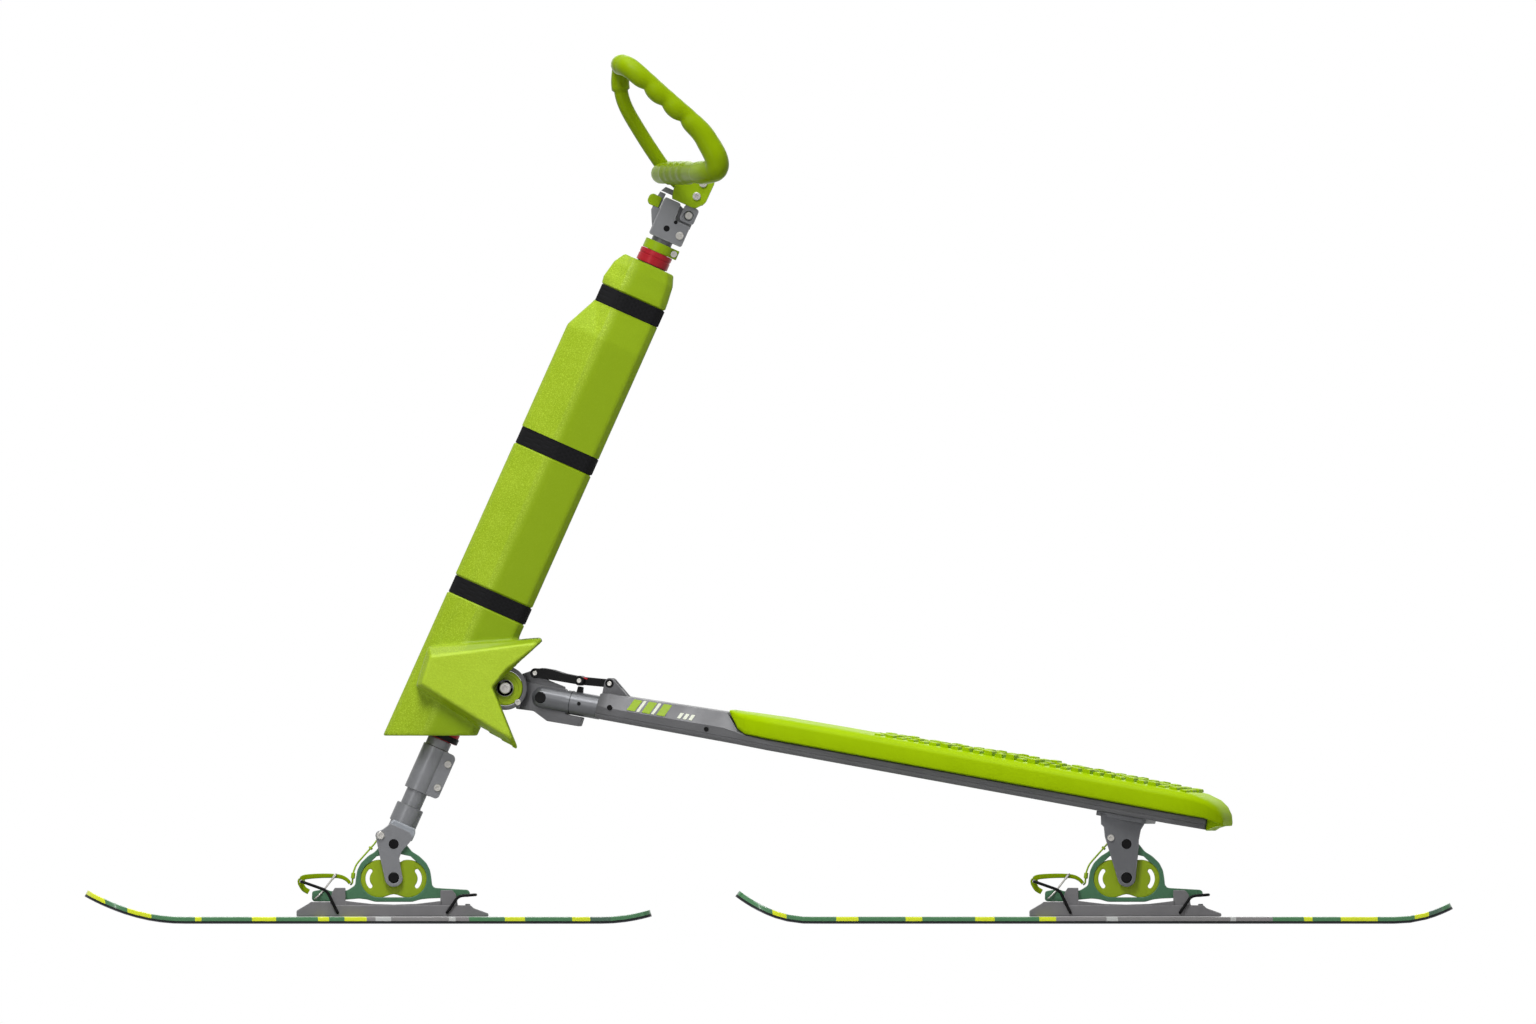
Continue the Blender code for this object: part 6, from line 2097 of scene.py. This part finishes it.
                middle = Vector((-0.0785 - 0.0035 * share, side * 0.0155, -0.0412 - 0.0052 * share))
                flat, rise = 0.0012 * math.cos(turn), math.sin(turn)
                wound.append(middle + Vector((flat, 0.0016 * rise, 0.0012 * rise)))
            clip.tube(wound, 0.0008, sides=3)
        self.dress(clip, "clip_wire", SILVER)

    def build(self) -> None:
        """Builds the whole module."""
        self.build_ski()
        self.build_plate()
        self.build_frame()
        self.build_damper()
        self.build_binding()
        self.build_tether()


# Studio
@dataclass(frozen=True)
class Light:
    """One soft rectangular light."""

    name: str
    place: Place
    target: Place
    size: tuple[float, float]
    power: float

    def build(self) -> None:
        """Adds the light, turned to its target."""
        data = bpy.data.lights.new(self.name, "AREA")
        data.shape = "RECTANGLE"
        data.size, data.size_y = self.size
        data.energy = self.power
        lamp = add_object(self.name, data)
        lamp.location = self.place
        facing = Vector(self.target) - Vector(self.place)
        lamp.rotation_euler = facing.to_track_quat("-Z", "Y").to_euler()


@dataclass
class Studio:
    """A pale floor, a white surround, soft lights and the camera."""

    floor_size: float = 14.0
    floor_drop: float = 0.0004
    camera_place: Place = (-0.001, -6.0, 0.5559)
    frame_width: float = 2.0736
    ambient: float = 0.09
    lights: tuple[Light, ...] = (
        Light("key", (-1.0, -2.7, 3.6), (0, 0, 0.5), (1.5, 1.3), 122.0),
        Light("top", (-0.2, -0.4, 3.8), (0, 0, 0.3), (2.8, 1.8), 76.0),
        Light("strip", (-2.1, -3.6, 1.3), (-0.2, 0, 0.5), (0.26, 1.6), 17.0),
        Light("fill", (3.0, -3.2, 1.4), (0, 0, 0.4), (2.0, 2.0), 10.0),
        Light("rim", (0.5, 3.4, 2.2), (0, 0, 0.5), (3.0, 1.5), 25.0),
    )

    def seen(self, nodes: Nodes) -> Socket:
        """Returns: 1 for rays that show the surround, and 0 for those that light."""
        path = nodes.new("LightPath").outputs
        direct = nodes.math("MAXIMUM", path["Is Camera Ray"], path["Is Glossy Ray"])
        return nodes.math("MAXIMUM", direct, path["Is Transmission Ray"])

    def build_floor(self) -> None:
        """Adds the floor, which turns white far from the scooter."""
        work = bmesh.new()
        bmesh.ops.create_grid(work, x_segments=1, y_segments=1, size=self.floor_size / 2)
        bmesh.ops.translate(work, vec=(0, 0, -self.floor_drop), verts=work.verts)
        data = bpy.data.meshes.new("studio_floor")
        work.to_mesh(data)
        work.free()
        floor = add_object("studio_floor", data)
        made = bpy.data.materials.new("floor_paper")
        made.use_nodes = True
        nodes = Nodes(made.node_tree)
        shader = made.node_tree.nodes["Principled BSDF"]
        where = nodes.new("TexCoord").outputs["Object"]
        soft = nodes.noise(where, 3.0, 2.0)
        pale = nodes.mix(soft, (0.92, 0.92, 0.92, 1), (0.9, 0.9, 0.905, 1))
        seen = self.seen(nodes)
        reach = nodes.new("VectorMath", operation="LENGTH")
        nodes.wire(where, reach.inputs[0])
        distant = nodes.math("MULTIPLY", nodes.ramp(reach.outputs["Value"], 1.6, 4.2), seen)
        nodes.feed(shader, {
            "Base Color": nodes.mix(seen, (0.4, 0.4, 0.4, 1), pale), "Roughness": 0.85,
            "Emission Color": nodes.mix(distant, (0, 0, 0, 1), (0.85, 0.85, 0.85, 1)),
            "Emission Strength": 1.0,
        })
        data.materials.append(made)

    def build_world(self) -> None:
        """Makes the surround white where it is seen and softer where it lights."""
        world = bpy.data.worlds.new("surround")
        bpy.context.scene.world = world
        world.use_nodes = True
        nodes = Nodes(world.node_tree)
        background = world.node_tree.nodes["Background"]
        background.inputs["Color"].default_value = (1, 1, 1, 1)
        strength = nodes.math("MULTIPLY_ADD", self.seen(nodes), 1 - self.ambient, self.ambient)
        nodes.wire(strength, background.inputs["Strength"])

    def build_camera(self) -> None:
        """Places the camera level with the side of the scooter."""
        data = bpy.data.cameras.new("camera")
        data.type = "ORTHO"
        data.ortho_scale = self.frame_width
        camera = add_object("camera", data)
        camera.location = self.camera_place
        camera.rotation_euler = (math.radians(90), 0, 0)
        bpy.context.scene.camera = camera

    def build(self) -> None:
        """Builds the studio."""
        bpy.context.scene.view_settings.view_transform = "Standard"
        self.build_camera()
        self.build_world()
        self.build_floor()
        for light in self.lights:
            light.build()


# Tip, end of the shovel, start of the heel, tail, rise of the tip, rise of the tail
FRONT_SKI = (-0.4174, -0.285, 0.281, 0.3486, 0.037, 0.01)
REAR_SKI = (-0.5283, -0.43, 0.364, 0.4407, 0.037, 0.02)
# Where each block of the top sheet starts, and its shade
FRONT_BLOCKS = (
    (-0.5, "sage"), (-0.417, "yellow"), (-0.388, "sage"), (-0.362, "yellow"), (-0.33, "sage"),
    (-0.269, "yellow"), (-0.261, "sage"), (-0.192, "yellow"), (-0.16, "sage"), (-0.101, "yellow"),
    (-0.087, "sage"), (-0.066, "yellow"), (-0.037, "grey"), (-0.025, "pale"), (-0.002, "grey"),
    (0.075, "pale"), (0.085, "grey"), (0.101, "sage"), (0.15, "yellow"), (0.178, "sage"),
    (0.24, "yellow"), (0.262, "deep"), (0.29, "sage"),
)
REAR_BLOCKS = (
    (-0.56, "sage"), (-0.482, "yellow"), (-0.461, "sage"), (-0.395, "yellow"), (-0.363, "sage"),
    (-0.299, "yellow"), (-0.277, "sage"), (-0.206, "yellow"), (-0.178, "sage"), (-0.117, "yellow"),
    (-0.094, "grey"), (-0.027, "pale"), (-0.01, "grey"), (0.14, "pale"), (0.149, "grey"),
    (0.196, "sage"), (0.238, "yellow"), (0.249, "sage"), (0.289, "yellow"), (0.336, "sage"),
    (0.386, "yellow"), (0.405, "deep"), (0.425, "sage"),
)


def main() -> None:
    """Builds the scooter and its studio."""
    logging.basicConfig(level=logging.INFO, format="%(name)s: %(message)s")
    Studio().build()
    Column().build()
    Steering().build()
    Handlebar().build()
    for name, side in SIDES.items():
        DeckArm(name, side).build()
    SkiModule("front", 0, FRONT_SKI, FRONT_BLOCKS).build()
    for name, side in SIDES.items():
        SkiModule(name, side, REAR_SKI, REAR_BLOCKS).build()


if __name__ == "__main__":
    main()
